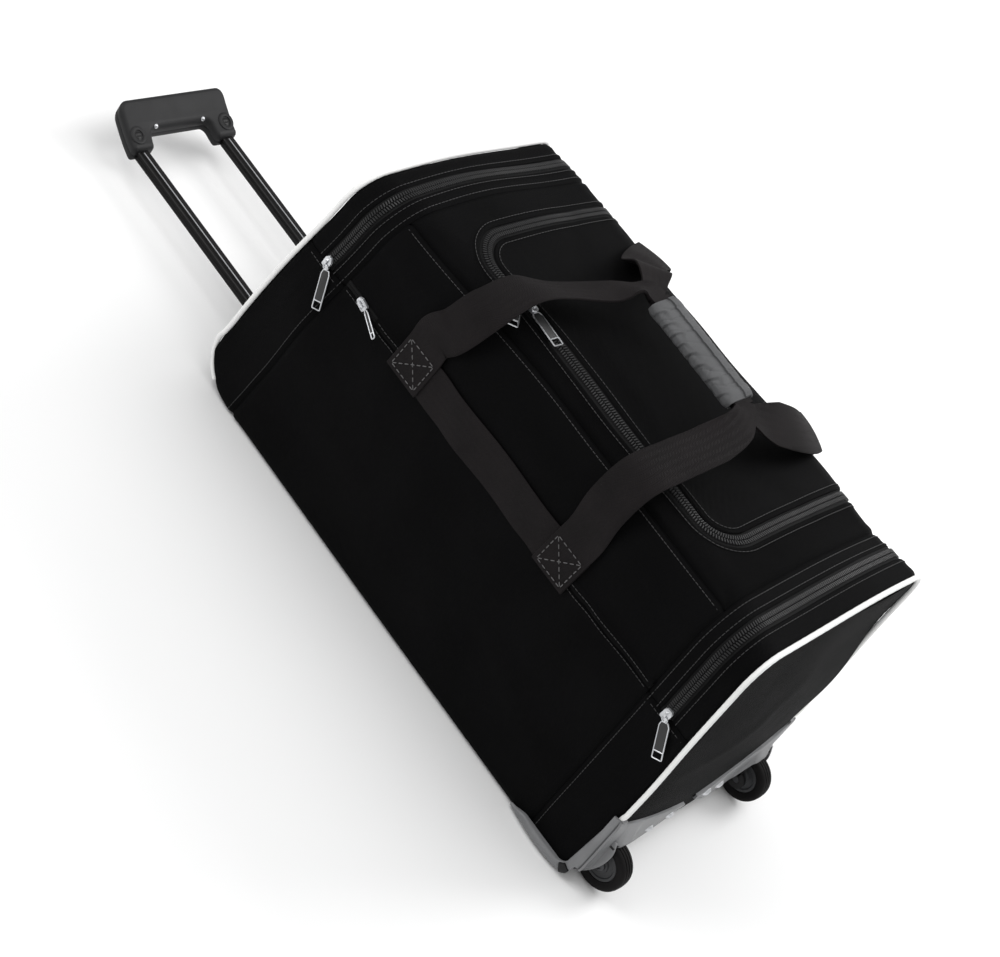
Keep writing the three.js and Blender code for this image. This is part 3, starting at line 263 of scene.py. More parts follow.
def stacked(outlines, heights):
    """A solid of flat outlines with the same number of points, one over another."""
    rings = [np.column_stack([line, np.full(len(line), h)]) for line, h in zip(outlines, heights)]
    points = np.stack(rings)
    return grid_part(points, ring=True, uv=points[..., :2] * MM)


def box_corners(left, low, right, high):
    """Corners of a rectangle, turning left."""
    return [(left, low), (right, low), (right, high), (left, high)]


def circle(count):
    """Even angles once round."""
    return np.arange(count) * 2 * np.pi / count


def turned(profile, sides):
    """A closed profile of radius and height turned about Y."""
    profile = np.asarray(profile, float)
    angle = circle(sides)
    radius, height = profile[:, 0, None], profile[:, 1, None] + np.zeros(sides)
    points = np.stack([radius * np.cos(angle), height, radius * np.sin(angle)], -1)
    return grid_part(points, ring=True, loop=True)


def dome(wide, long, high, foot, slot=0.0):
    """An oval button: height falls as the 2.6th power of the share from its middle, less a screw slot."""
    share = np.array([0.0, 0.2, 0.4, 0.6, 0.75, 0.87, 0.95, 1.0])[:, None]
    angle = circle(24)
    x, y = wide * share * np.cos(angle), long * share * np.sin(angle)
    z = high * (1 - share ** 2.6) + 0 * angle
    z = z - slot * np.exp(-(x / 0.9) ** 4) * (1 - rise(np.abs(y), long * 0.5, long * 0.7))
    top = np.stack([x, y, z], -1)
    low = top[-1:] * vec(1, 1, 0) + vec(0, 0, foot)
    return grid_part(np.concatenate([top, low]), ring=True)


def wire_ring(radius, tube):
    """A round ring: a small circle carried round a large one."""
    a, b = circle(20)[:, None], circle(8)
    reach = radius + tube * np.cos(b)
    points = np.stack([reach * np.cos(a), reach * np.sin(a), tube * np.sin(b) + 0 * a], -1)
    return grid_part(points, ring=True, loop=True)


def volume_of(points, faces):
    """Six times the volume inside the faces, each cut into a fan of triangles."""
    total = 0.0
    for face in faces:
        a = points[face[:, :1]]
        b, c = points[face[:, 1:-1]], points[face[:, 2:]]
        total += (a * np.cross(b, c)).sum()
    return total


def outward(part):
    """A part with its faces turned outwards."""
    points, faces, uv = part
    return (points, [face[:, ::-1] for face in faces], uv) if volume_of(points, faces) < 0 else part


def mesh_of(name, points, faces):
    """A mesh in metres."""
    mesh = bpy.data.meshes.new(name)
    mesh.from_pydata((points * MM).tolist(), [], [corners for face in faces for corners in face.tolist()])
    return mesh


def linked(name, data):
    """A new object of the scene."""
    obj = bpy.data.objects.new(name, data)
    bpy.context.collection.objects.link(obj)
    return obj


def made(name, part, material, *stands_for, body="bag", slot="cloth", sharp=42.0, weld=False):
    """Puts a part into a mesh with its faces outwards, gives it its finish and sets it on its body."""
    points, faces, uv = outward(part)
    mesh = mesh_of(name, points, faces)
    layer = mesh.uv_layers.new(name="cloth")
    corner = np.concatenate([face.ravel() for face in faces])
    layer.data.foreach_set("uv", uv[corner].astype(np.float32).ravel())
    if weld:
        weld_points(mesh)
    mesh.polygons.foreach_set("use_smooth", np.ones(len(mesh.polygons), bool))
    mesh.set_sharp_from_angle(angle=math.radians(sharp))
    mesh.materials.append(material)
    obj = linked(name, mesh)
    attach(obj, body)
    if stands_for:
        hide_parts(*stands_for)
    return obj


def weld_points(mesh):
    """Merges the points that meet at a pole, and drops the faces that vanish there."""
    work = bmesh.new()
    work.from_mesh(mesh)
    bmesh.ops.remove_doubles(work, verts=work.verts, dist=1e-6)
    bmesh.ops.dissolve_degenerate(work, edges=work.edges, dist=1e-7)
    work.to_mesh(mesh)
    work.free()


# Finishes

class Finish:
    """A material with its shader and a short way to add nodes to it."""

    def __init__(self, name, colour, rough, **sockets):
        self.material = bpy.data.materials.new(name)
        self.material.use_nodes = True
        self.nodes = self.material.node_tree.nodes
        self.links = self.material.node_tree.links
        self.shader = self.nodes["Principled BSDF"]
        self.colour, self.rough = np.array(colour, float), rough
        self.shader.inputs["Roughness"].default_value = rough
        for socket, value in sockets.items():
            self.shader.inputs[socket.replace("_", " ")].default_value = value
        self.place = self.nodes.new("ShaderNodeTexCoord")
        self.height = None

    def node(self, kind, operation=None, **inputs):
        """A new node with its inputs linked or set."""
        made_node = self.nodes.new("ShaderNode" + kind)
        if operation:
            made_node.operation = operation
        for key, value in inputs.items():
            socket = made_node.inputs[int(key[2:]) if key.startswith("in") else key.replace("_", " ")]
            if isinstance(value, bpy.types.NodeSocket):
                self.links.new(value, socket)
            else:
                socket.default_value = value
        return made_node

    def math(self, operation, a, b=0.0):
        """One sum."""
        return self.node("Math", operation, in0=a, in1=b).outputs[0]

    def noise(self, scale, detail):
        """Noise over the piece, scale in cells per metre."""
        made_node = self.node("TexNoise", Vector=self.place.outputs["Object"], Scale=scale, Detail=detail)
        return made_node.outputs["Fac"]

    def paint(self, fac, dark, light, low=0.3, high=0.7):
        """Base colour from dark to light times the finish's own, as fac goes from low to high."""
        ramp = self.nodes.new("ShaderNodeValToRGB")
        ends = ramp.color_ramp.elements
        ends[0].position, ends[1].position = low, high
        ends[0].color = (*(self.colour * dark), 1)
        ends[1].color = (*(self.colour * light), 1)
        self.links.new(fac, ramp.inputs["Fac"])
        self.links.new(ramp.outputs["Color"], self.shader.inputs["Base Color"])

    def gloss(self, fac, spread):
        """Roughness that goes up and down about the finish's own."""
        ranged = self.node("MapRange", Value=fac)
        ranged.inputs["To Min"].default_value = self.rough - spread
        ranged.inputs["To Max"].default_value = self.rough + spread
        self.links.new(ranged.outputs[0], self.shader.inputs["Roughness"])

    def bump(self, height, distance):
        """Relief, in millimetres of height, over what is there already."""
        relief = self.node("Bump", Height=height, Distance=distance * MM, Strength=1.0)
        if self.height is not None:
            self.links.new(self.height, relief.inputs["Normal"])
        self.height = relief.outputs["Normal"]
        self.links.new(self.height, self.shader.inputs["Normal"])

    def waves(self, pitch):
        """Sines of the two cloth directions, half a wave to each yarn of the pitch in millimetres."""
        split = self.node("SeparateXYZ", Vector=self.place.outputs["UV"])
        turn = math.pi / (pitch * MM)
        return [self.math("SINE", self.math("MULTIPLY", split.outputs[k], turn)) for k in (0, 1)]


def woven(name, colour, rough, pitch, relief, sheen, shine, mottle=(0.75, 1.3)):
    """Plain weave: yarns pass over and under, so the relief is the product of two sines, and the same product
    paints shade into the hollows between yarns.
    """
    cloth = Finish(name, colour, rough, Sheen_Weight=sheen, Sheen_Roughness=0.45, Specular_IOR_Level=shine)
    cloth.shader.inputs["Sheen Tint"].default_value = (0.75, 0.78, 0.82, 1)
    across, along = cloth.waves(pitch)
    weave = cloth.math("MULTIPLY", across, along)
    worn = cloth.noise(16.0, 5.0)
    fuzz = cloth.noise(1400.0, 2.0)
    # Base colour: the weave term is painted shade in the yarn hollows, and the noise is random mottle of the
    # cloth's tone.
    hollow_shade_and_mottle = cloth.math("ADD", cloth.math("MULTIPLY", weave, 0.12), worn)
    cloth.paint(hollow_shade_and_mottle, *mottle, low=0.25, high=0.75)
    cloth.gloss(worn, 0.07)
    cloth.bump(fuzz, 0.12)
    cloth.bump(weave, relief)
    return cloth.material


def ribbed(name, colour, rough):
    """Strap webbing: slanted ribs that change direction in bands across the width, a herringbone."""
    strap = Finish(name, colour, rough, Specular_IOR_Level=0.12)
    split = strap.node("SeparateXYZ", Vector=strap.place.outputs["UV"])
    fold = strap.math("PINGPONG", split.outputs[1], 4.0 * MM)
    slant = strap.math("ADD", split.outputs[0], fold)
    rib = strap.math("SINE", strap.math("MULTIPLY", slant, 2 * math.pi / (2.0 * MM)))
    worn = strap.noise(22.0, 4.0)
    # Base colour: the rib term is painted shade in the grooves between ribs, and the noise is random mottle
    # of the webbing's tone.
    strap.paint(strap.math("ADD", strap.math("MULTIPLY", rib, 0.07), worn), 0.7, 1.35, 0.25, 0.75)
    strap.gloss(worn, 0.06)
    strap.bump(strap.noise(1600.0, 2.0), 0.1)
    strap.bump(rib, 0.14)
    return strap.material


def moulded(name, colour, rough, grain=500.0, relief=0.10, shine=0.5):
    """Moulded plastic or rubber: a fine leathery grain, with cloudy colour and gloss."""
    plastic = Finish(name, colour, rough, Specular_IOR_Level=shine)
    cloud = plastic.noise(18.0, 4.0)
    plastic.paint(cloud, 0.86, 1.14)
    plastic.gloss(plastic.noise(60.0, 3.0), 0.06)
    plastic.bump(plastic.noise(grain, 3.0), relief)
    return plastic.material


def plated(name, colour, rough):
    """Plated metal: faint scratches and clouded gloss."""
    metal = Finish(name, colour, rough, Metallic=1.0)
    metal.paint(metal.noise(70.0, 4.0), 0.9, 1.08)
    metal.gloss(metal.noise(240.0, 5.0), 0.08)
    metal.bump(metal.noise(900.0, 2.0), 0.02)
    return metal.material


BLACK_CLOTH = woven("black_cloth", (0.0026, 0.0026, 0.0028), 0.70, 0.9, 0.16, 0.0, 0.035)
STRAP_CLOTH = ribbed("strap_webbing", (0.0085, 0.0070, 0.0074), 0.74)
WRAP_CLOTH = woven("grey_wrap_cloth", (0.096, 0.097, 0.100), 0.80, 0.8, 0.14, 0.03, 0.2, (0.8, 1.2))
PIPING_CLOTH = woven("white_piping", (0.88, 0.88, 0.87), 0.55, 0.7, 0.08, 0.0, 0.4, (0.96, 1.03))
THREAD = moulded("grey_thread", (0.088, 0.086, 0.087), 0.6, 2500.0, 0.05)
DARK_THREAD = moulded("dark_thread", (0.023, 0.0225, 0.023), 0.6, 2500.0, 0.05)
ZIP_TAPE = woven("zip_tape", (0.008, 0.008, 0.0082), 0.78, 0.6, 0.10, 0.0, 0.1)
ZIP_COIL = moulded("zip_coil", (0.016, 0.016, 0.0165), 0.42, 1500.0, 0.02, 0.3)
NICKEL = plated("nickel", (0.62, 0.63, 0.65), 0.36)
DARK_STEEL = plated("dark_steel", (0.060, 0.061, 0.064), 0.42)
TAB_INLAY = moulded("tab_inlay", (0.012, 0.012, 0.0125), 0.5, 1200.0, 0.05)
TUBE_BLACK = moulded("satin_tube", (0.0055, 0.0050, 0.0052), 0.34, 260.0, 0.015, 0.15)
GRIP_PLASTIC = moulded("grip_plastic", (0.0158, 0.0158, 0.0166), 0.50, 700.0, 0.12, 0.2)
GUARD_PLASTIC = moulded("guard_plastic", (0.165, 0.167, 0.172), 0.46, 650.0, 0.10)
TRIM_PLASTIC = moulded("black_trim_plastic", (0.006, 0.006, 0.0063), 0.42, 650.0, 0.08, 0.25)
TYRE_RUBBER = moulded("tyre_rubber", (0.0055, 0.0050, 0.0052), 0.66, 1100.0, 0.10, 0.12)
HUB_PLASTIC = moulded("hub_plastic", (0.034, 0.035, 0.037), 0.44, 800.0, 0.06, 0.25)
RAIL_PLASTIC = moulded("rail_plastic", (0.008, 0.008, 0.0085), 0.55)


# The bag's surface

def body(u, column):
    """A column of the body table at a place along the bag, going from row to row by smooth steps."""
    row = np.clip(np.searchsorted(BODY_U, u) - 1, 0, len(BODY_U) - 2)
    values = BODY[column]
    return mix(values[row], values[row + 1], rise(u, BODY_U[row], BODY_U[row + 1]))


def base_rise(u):
    """How far the base has risen on the quarter circle before each end."""
    radius = np.where(u < 0, CORNER[-1], CORNER[1])
    run = np.minimum(np.abs(u), HALF) - (HALF - radius)
    return np.where(run > 0, radius - np.sqrt(np.maximum(radius ** 2 - run ** 2, 0)), 0.0)


def bag_point(u, station):
    """A point of the smooth body. The station runs round the section: half the base 0-1, its long edge 1-2 (a
    quarter circle), the front wall 2-3 (with a squared sine swell), the shoulder 3-4 (a quarter circle), half
    the roof 4-5 (a parabola), then the same down the back. X shrinks with height, so the ends lean in."""
    u, station = np.broadcast_arrays(np.asarray(u, float), np.asarray(station, float))
    s = np.where(station > 5, 10 - station, station)
    half, height, shoulder, belly = (body(u, column) for column in BODY)
    foot = base_rise(u)
    over, bend = (s - 3) * QUARTER, (s - 1) * QUARTER
    where = [s > 4, s > 3, s > 2, s > 1]
    y = np.select(
        where,
        [
            (half - shoulder) * (5 - s),
            half - shoulder + shoulder * np.cos(over),
            half + belly * np.sin(np.pi * (s - 2)) ** 2,
            half - EDGE_RADIUS + EDGE_RADIUS * np.sin(bend),
        ],
        (half - EDGE_RADIUS) * s,
    )
    z = np.select(
        where,
        [
            height + CROWN * (1 - (5 - s) ** 2),
            height - shoulder + shoulder * np.sin(over),
            mix(foot + EDGE_RADIUS, height - shoulder, s - 2),
            foot + EDGE_RADIUS * (1 - np.cos(bend)),
        ],
        foot,
    )
    return np.stack([u * (1 - TAPER * z), np.where(station > 5, y, -y), z], -1)


def bag_normal(u, station):
    """Outward normal: the step along the bag crossed with the step round the section."""
    along = bag_point(np.minimum(u + 1, HALF), station) - bag_point(np.maximum(u - 1, -HALF), station)
    round_it = bag_point(u, station + 0.01) - bag_point(u, station - 0.01)
    return unit(np.cross(along, round_it))


def wall_station(u, z):
    """Front station at a height on the wall."""
    low = base_rise(u) + EDGE_RADIUS
    return 2 + (z - low) / (body(u, "height") - body(u, "shoulder") - low)


def station_at(u, z):
    """Front station at a height, on the long edge of the base or on the wall."""
    up = z - base_rise(u)
    turn = np.arccos(np.clip(1 - up / EDGE_RADIUS, 0, 1))
    return np.where(up < EDGE_RADIUS, 1 + turn / QUARTER, wall_station(u, z))


def roof_station(u, y):
    """Station at a distance from the middle of the roof."""
    shoulder = body(u, "shoulder")
    flat = body(u, "half") - shoulder
    out = np.abs(y)
    turn = np.arccos(np.clip((out - flat) / shoulder, 0, 1))
    s = np.where(out < flat, 5 - out / flat, 3 + turn / QUARTER)
    return np.where(y > 0, 10 - s, s)


def shifted(u, station, distance):
    """A station moved along the section by a distance."""
    span = np.linalg.norm(bag_point(u, station + 0.01) - bag_point(u, station - 0.01), axis=-1)
    return station + 0.02 * distance / span


def roof_place(x, y):
    """Place along the base and station under a point seen from above, found in four passes."""
    u = x / (1 - TAPER * body(x, "height"))
    for _ in range(3):
        u = x / (1 - TAPER * bag_point(u, roof_station(u, y))[..., 2])
    return u, roof_station(u, y)


def on_side(side, station):
    """A front station, or the same one on the back."""
    return station if side < 0 else 10 - station


# Slack of the cloth: long waves drawn once from a fixed seed, and creases between two points, each with its
# half width and height
draw = np.random.default_rng(11)
WAVES = 16
WAVE_LENGTH = draw.uniform(85, 260, WAVES)
WAVE_VECTOR = unit(draw.normal(size=(WAVES, 3))) * (2 * np.pi / WAVE_LENGTH)[:, None]
WAVE_PHASE = draw.uniform(0, 2 * np.pi, WAVES)
WAVE_HEIGHT = 0.0042 * WAVE_LENGTH
CREASES = np.array([
    [-120, -172, 300, -60, -170, 205, 13, -2.2],
    [-150, -172, 300, -195, -168, 200, 12, -2.0],
    [100, -172, 300, 50, -170, 190, 13, -2.2],
    [128, -172, 300, 190, -168, 205, 12, -2.0],
    [-270, -168, 60, -120, -172, 110, 18, 2.0],
    [250, -168, 70, 90, -173, 130, 18, 2.0],
    [-40, -172, 60, 40, -173, 190, 20, -1.8],
    [-205, 60, 372, -80, -30, 382, 20, -2.0],
    [200, 40, 378, 70, -50, 383, 20, -2.0],
    [-150, -60, 378, 120, -70, 382, 24, 1.8],
    [-60, 90, 376, 100, 110, 376, 18, -1.6],
    [-340, -60, 110, -330, 60, 230, 18, 2.0],
    [-335, 90, 120, -325, -20, 300, 16, -1.8],
    [345, 60, 180, 335, -80, 300, 18, -2.2],
    [345, -110, 160, 335, 20, 260, 18, 2.0],
    [-120, 172, 300, -60, 170, 160, 13, -2.2],
    [110, 172, 300, 170, 168, 170, 13, -2.2],
    [-230, 168, 70, 40, 174, 150, 20, 2.0],
    [240, 168, 80, 120, 172, 200, 18, -1.8],
    [-262, -150, 330, -235, -60, 366, 12, -1.6],
    [255, -150, 345, 228, -50, 378, 12, -1.6],
], float)


# Spans over which the slack dies out: down to the base and the guards, and towards the wheels and the rods
CALM = {
    "base": (4, 80), "guards": (95, 170), "wheel_end": (290, 330),
    "rods_x": (-335, -300), "rods_z": (55, 100),
}


def slack(p):
    """How far the cloth stands out of the smooth body: a sum of sine waves and of creases, each a Gaussian
    ridge about its line. It dies out towards the base, the rods and the hard corners of the wheels."""
    waves = (np.sin(p @ WAVE_VECTOR.T + WAVE_PHASE) * WAVE_HEIGHT).sum(-1)
    folds = np.zeros(p.shape[:-1])
    for row in CREASES:
        start, run = row[:3], row[3:6] - row[:3]
        share = np.clip(((p - start) @ run) / (run @ run), 0, 1)
        off = np.linalg.norm(p - start - share[..., None] * run, axis=-1)
        folds += row[7] * np.exp(-(off / row[6]) ** 2) * np.sin(np.pi * np.clip(share, 0.12, 0.88)) ** 0.5
    x, z = p[..., 0], p[..., 2]
    held = mix(rise(z, *CALM["base"]), rise(z, *CALM["guards"]), rise(x, *CALM["wheel_end"]))
    rods = (1 - rise(x, *CALM["rods_x"])) * (1 - rise(z, *CALM["rods_z"]))
    return (waves + folds) * held * (1 - rods)


def skin(u, station):
    """The slack cloth surface and its normal at places on the body."""
    p, n = bag_point(u, station), bag_normal(u, station)
    return p + n * slack(p)[..., None], n


def end_point(sign, y, z):
    """The smooth end: a leaning plane over a quarter circle foot, swollen by a parabola across it and a sine
    up it."""
    y, z = np.broadcast_arrays(np.asarray(y, float), np.asarray(z, float))
    radius = CORNER[sign]
    foot = HALF - radius + np.sqrt(np.maximum(radius ** 2 - np.maximum(radius - z, 0) ** 2, 0))
    height = body(np.array(sign * HALF), "height")
    up = np.sin(np.pi * np.clip(z / height, 0, 1))
    swell = END_BULGE[sign] * np.maximum(1 - (y / BULGE_HALF) ** 2, 0) * up
    return np.stack([sign * (foot * (1 - TAPER * z) + swell), y, z], -1)


def end_skin(sign, y, z):
    """The slack cloth of an end and its normal."""
    p = end_point(sign, y, z)
    across = end_point(sign, y + 0.5, z) - end_point(sign, y - 0.5, z)
    up = end_point(sign, y, z + 0.5) - end_point(sign, y, np.maximum(z - 0.5, 0))
    n = unit(np.cross(across, up)) * sign
    return p + n * slack(p)[..., None], n


# Sewn panels

SEWN, TURNED, FREE = "sewn", "turned", "free"


def hem(distance, kind):
    """Relief beside a panel's edge: a sewn edge is drawn in by a Gaussian groove with a low swell beside it,
    and an edge turned under beside a zip swells 4 mm in and rounds off at its rim."""
    if kind == SEWN:
        return -1.7 * np.exp(-((distance / 2.6) ** 2)) + 0.5 * np.exp(-(((distance - 7) / 4) ** 2))
    if kind == TURNED:
        return 0.7 * np.exp(-(((distance - 4) / 3.5) ** 2)) - 0.9 * np.exp(-((distance / 1.2) ** 2))
    return np.zeros_like(distance)


def panel(surface, normal, hems):
    """A sewn wall on a grid of the surface: the hems of its four edges are added along the normal, and the
    inner face lies a cloth's thickness under it. Its UV map is the distance run, so the weave keeps its
    scale."""
    down, across = lengths(surface, 0), lengths(surface, 1)
    edges = (down, down[-1:] - down, across, across[:, -1:] - across)
    relief = sum(hem(distance, kind) for distance, kind in zip(edges, hems))
    outer = surface + normal * relief[..., None]
    return sheet_part(outer, outer - normal * CLOTH, np.stack([across, down], -1) * MM)


def panel_between(u, station, hems):
    """A sewn wall over a grid of places on the body."""
    return panel(*skin(u, station), hems)


WALL_U = mix(-END_SEAM + SEAM / 2, END_SEAM - SEAM / 2, spaced(2 * END_SEAM, 8.0))


def wall_seam(u, side, edge):
    """Station of the lower (-1) or upper (1) edge of the pocket zip in front, or of the plain seam behind, a
    distance along the section from the zip's middle."""
    room = POCKET_ZIP_HALF if side < 0 else SEAM / 2
    return shifted(u, wall_station(u, POCKET_ZIP_Z), edge * room)


def lower_wall(side):
    """Places of a long wall from the base, round its edge and up to the pocket zip or the seam."""
    u = WALL_U[None]
    arcs = np.linspace(1, 2, 7)[:-1, None] + 0 * u
    return u + 0 * arcs[:1], np.concatenate([arcs, mix(2, wall_seam(u, side, -1), spaced(230, 8.0)[:, None])])


def yoke_wall(side):
    """Places of a yoke from the pocket zip or the seam to the shoulder seam."""
    u = WALL_U[None]
    top = shifted(u, SHOULDER_SEAM, -SEAM / 2)
    return u, mix(wall_seam(u, side, 1), top, spaced(120, 7.0)[:, None])


def lid_back(x):
    """Where the lid meets the back shoulder seam."""
    u, _ = roof_place(x, np.zeros_like(x))
    return bag_point(u, shifted(u, 10 - SHOULDER_SEAM, -SEAM))[..., 1]


def lid_line(out):
    """The lid zip's line seen from above, set outwards: straight down one side, a quarter circle at each
    front corner, straight along the front, and back up the other side."""
    left, right, front, radius = LID["left"], LID["right"], LID["front"], LID["radius"]
    turn = np.linspace(0, QUARTER, LID_STEPS["corner"] + 1)

    def run_down(x):
        """A straight run from the back seam to the front corner."""
        y = np.linspace(lid_back(np.array(x)), front + radius, LID_STEPS["side"] + 1)
        return np.column_stack([np.full_like(y, x), y])

    def bend(x, sign):
        """A quarter circle at a front corner."""
        return np.column_stack([
            x - sign * (radius + out) * np.cos(turn), front + radius - (radius + out) * np.sin(turn)
        ])

    across = np.linspace(left + radius, right - radius, LID_STEPS["front"] + 1)[1:-1]
    return np.concatenate([
        run_down(left - out)[:-1],
        bend(left + radius, 1),
        np.column_stack([across, np.full_like(across, front - out)]),
        bend(right - radius, -1)[::-1],
        run_down(right + out)[::-1][1:],
    ])


def lid_path(out):
    """Places under the lid zip's line set outwards."""
    return roof_place(*lid_line(out).T)


def top_frame_places():
    """Places of the roof round the lid, from the zip's slot out to the end seams and the shoulder seam."""
    u, s = lid_path(ZIP_ROOM)
    reach = END_SEAM - SEAM / 2
    count = len(u)
    i = np.arange(count)
    nearest = np.minimum(i, count - 1 - i)
    first, last = LID_STEPS["side"], LID_STEPS["side"] + LID_STEPS["corner"]
    middle = LID_STEPS["side"] + LID_STEPS["corner"] // 2
    end = np.where(i < count / 2, -reach, reach)
    seam = shifted(end, SHOULDER_SEAM, SEAM / 2)
    bend_u = np.where(i < count / 2, u[last], u[count - 1 - last])
    bend_s = np.where(i < count / 2, s[first], s[count - 1 - first])
    over = np.clip((nearest - first) / (middle - first), 0, 1)
    far = np.clip((nearest - middle) / (last - middle), 0, 1)
    outer_u = np.where(nearest <= middle, end, np.where(nearest <= last, mix(end, bend_u, far), u))
    outer_s = np.where(nearest <= first, s, mix(bend_s, seam, over))
    outer_s = np.where(nearest > middle, shifted(outer_u, SHOULDER_SEAM, SEAM / 2), outer_s)
    q = spaced(66, 6.0)[:, None]
    return mix(u, outer_u, q), mix(s, outer_s, q)


def lid_places():
    """Places of the lid: columns from the back seam down to the front of the zip and its two corners."""
    side = LID_STEPS["side"]
    x, front = lid_line(-ZIP_ROOM)[side:-side].T
    return roof_place(x[None], mix(lid_back(x), front, spaced(250, 8.0)[:, None]))


END_T = np.concatenate([np.linspace(0, 1, 12)[:-1], np.linspace(1, 2, 18)[:-1], np.linspace(2, 3, 18)[:-1]])
END_T = np.concatenate([END_T, [3.0], 6 - END_T[::-1]])


def end_station(u, t):
    """Station along an end zip's run: t is 0 at its front end, 1 at the shoulder, 3 on the roof's middle and
    6 at its back end."""
    near = np.minimum(t, 6 - t)
    s = np.where(near < 1, mix(wall_station(u, END_ZIP_Z + SEAM), 3, near), near + 2)
    return np.where(t > 3, 10 - s, s)


def end_strip_places(sign, seam_u):
    """Places of the strip over the roof between an end zip's slot and a seam or the piping."""
    side = np.sign(seam_u - END_ZIP_U)
    middle = sign * END_ZIP_U
    z = bag_point(middle, end_station(middle, END_T))[..., 2]
    slot = sign * (END_ZIP_U + side * ZIP_ROOM / (1 - TAPER * z))
    q = spaced(26, 4.0)
    u = mix(slot[:, None], sign * seam_u, q)
    return u, end_station(u, END_T[:, None])


def lower_end_places(sign):
    """Places of an end section's wall from the base up to the zip's lower end."""
    u = sign * mix(END_SEAM + SEAM / 2, HALF - PIPING["room"], spaced(67, 5.0))[None]
    low = mix(1.0, 1.95, rise(np.abs(u), HALF - 42, HALF - 30))
    top = wall_station(u, END_ZIP_Z - SEAM)
    edge = mix(low, 2.0, np.linspace(0, 1, 6)[:-1, None])
    return u, np.concatenate([edge, mix(2.0, top, spaced(230, 8.0)[:, None])])


def end_panel_places(sign):
    """Places of an end panel: rows from the foot up, each as wide as the body there less the piping."""
    inset = PIPING["radius"] + PIPING["sink"] + SEAM
    at = np.array(sign * HALF)
    shoulder, top, half = (body(at, c) - inset for c in ("shoulder", "height", "half"))
    radius = CORNER[sign]
    foot = radius * (1 - np.cos(np.linspace(0, QUARTER, 10)))
    wall = mix(radius, top - shoulder, spaced(240, 8.0))
    arc = top - shoulder * (1 - np.sin(np.linspace(0, QUARTER, 12)))
    z = np.concatenate([foot[:-1], wall[:-1], arc])[:, None]
    up = np.maximum(z - (top - shoulder), 0)
    edge = EDGE_RADIUS - inset + 1
    trim = PIPING["radius"] - PIPING["sink"] + SEAM if sign < 0 else edge
    narrow = mix(edge, trim, rise(z, 3, 11)) * (1 - rise(z, 0.47 * radius, radius + 3))
    reach = half - shoulder + np.sqrt(np.maximum(shoulder ** 2 - up ** 2, 0)) - narrow
    return mix(-1, 1, spaced(320, 8.0)) * reach, z


def cut_out(obj, tools):
    """Takes the tools' solids out of a piece, and removes them."""
    for tool in tools:
        cut = obj.modifiers.new("cut", "BOOLEAN")
        cut.operation, cut.solver, cut.object = "DIFFERENCE", "EXACT", tool
    bpy.context.view_layer.update()
    made_mesh = bpy.data.meshes.new_from_object(obj.evaluated_get(bpy.context.evaluated_depsgraph_get()))
    obj.modifiers.clear()
    obj.data = made_mesh
    for tool in tools:
        bpy.data.objects.remove(tool)


def tool_solid(part):
    """A bare object to cut with."""
    points, faces, _ = outward(part)
    return linked("tool", mesh_of("tool", points, faces))


ROD_WAY = vec(-390, -260)
BOARD_CORNER = 5.0

# The base board's edge from below: inset and height
BOARD_EDGE = ((0.9, 0.0), (0.25, 0.3), (0.0, 1.2), (0.25, 3.0), (0.9, 3.5))


def rod_outline(grow=0.0, steps=6):
    """A rod's section: a rectangle with round corners."""
    wide, tall = ROD["wide"] / 2, ROD["tall"] / 2
    return rounded(box_corners(-wide, -tall, wide, tall), ROD["round"], -grow, steps)


def straight(points_x, y, z, outline):
    """An outline carried along X."""
    centre = np.column_stack([points_x, np.full_like(points_x, y), np.full_like(points_x, z)])
    count = (len(points_x), 1)
    return swept(centre, np.tile(vec(0, 1, 0), count), np.tile(vec(0, 0, 1), count), outline)


def drum(radius, low, high):
    """A round bar along Y about a wheel's axle."""
    angle = circle(48)
    ring = np.stack([WHEEL["x"] + radius * np.cos(angle), 0 * angle, WHEEL["z"] + radius * np.sin(angle)], -1)
    return grid_part(np.stack([ring + vec(0, low, 0), ring + vec(0, high, 0)]), ring=True)


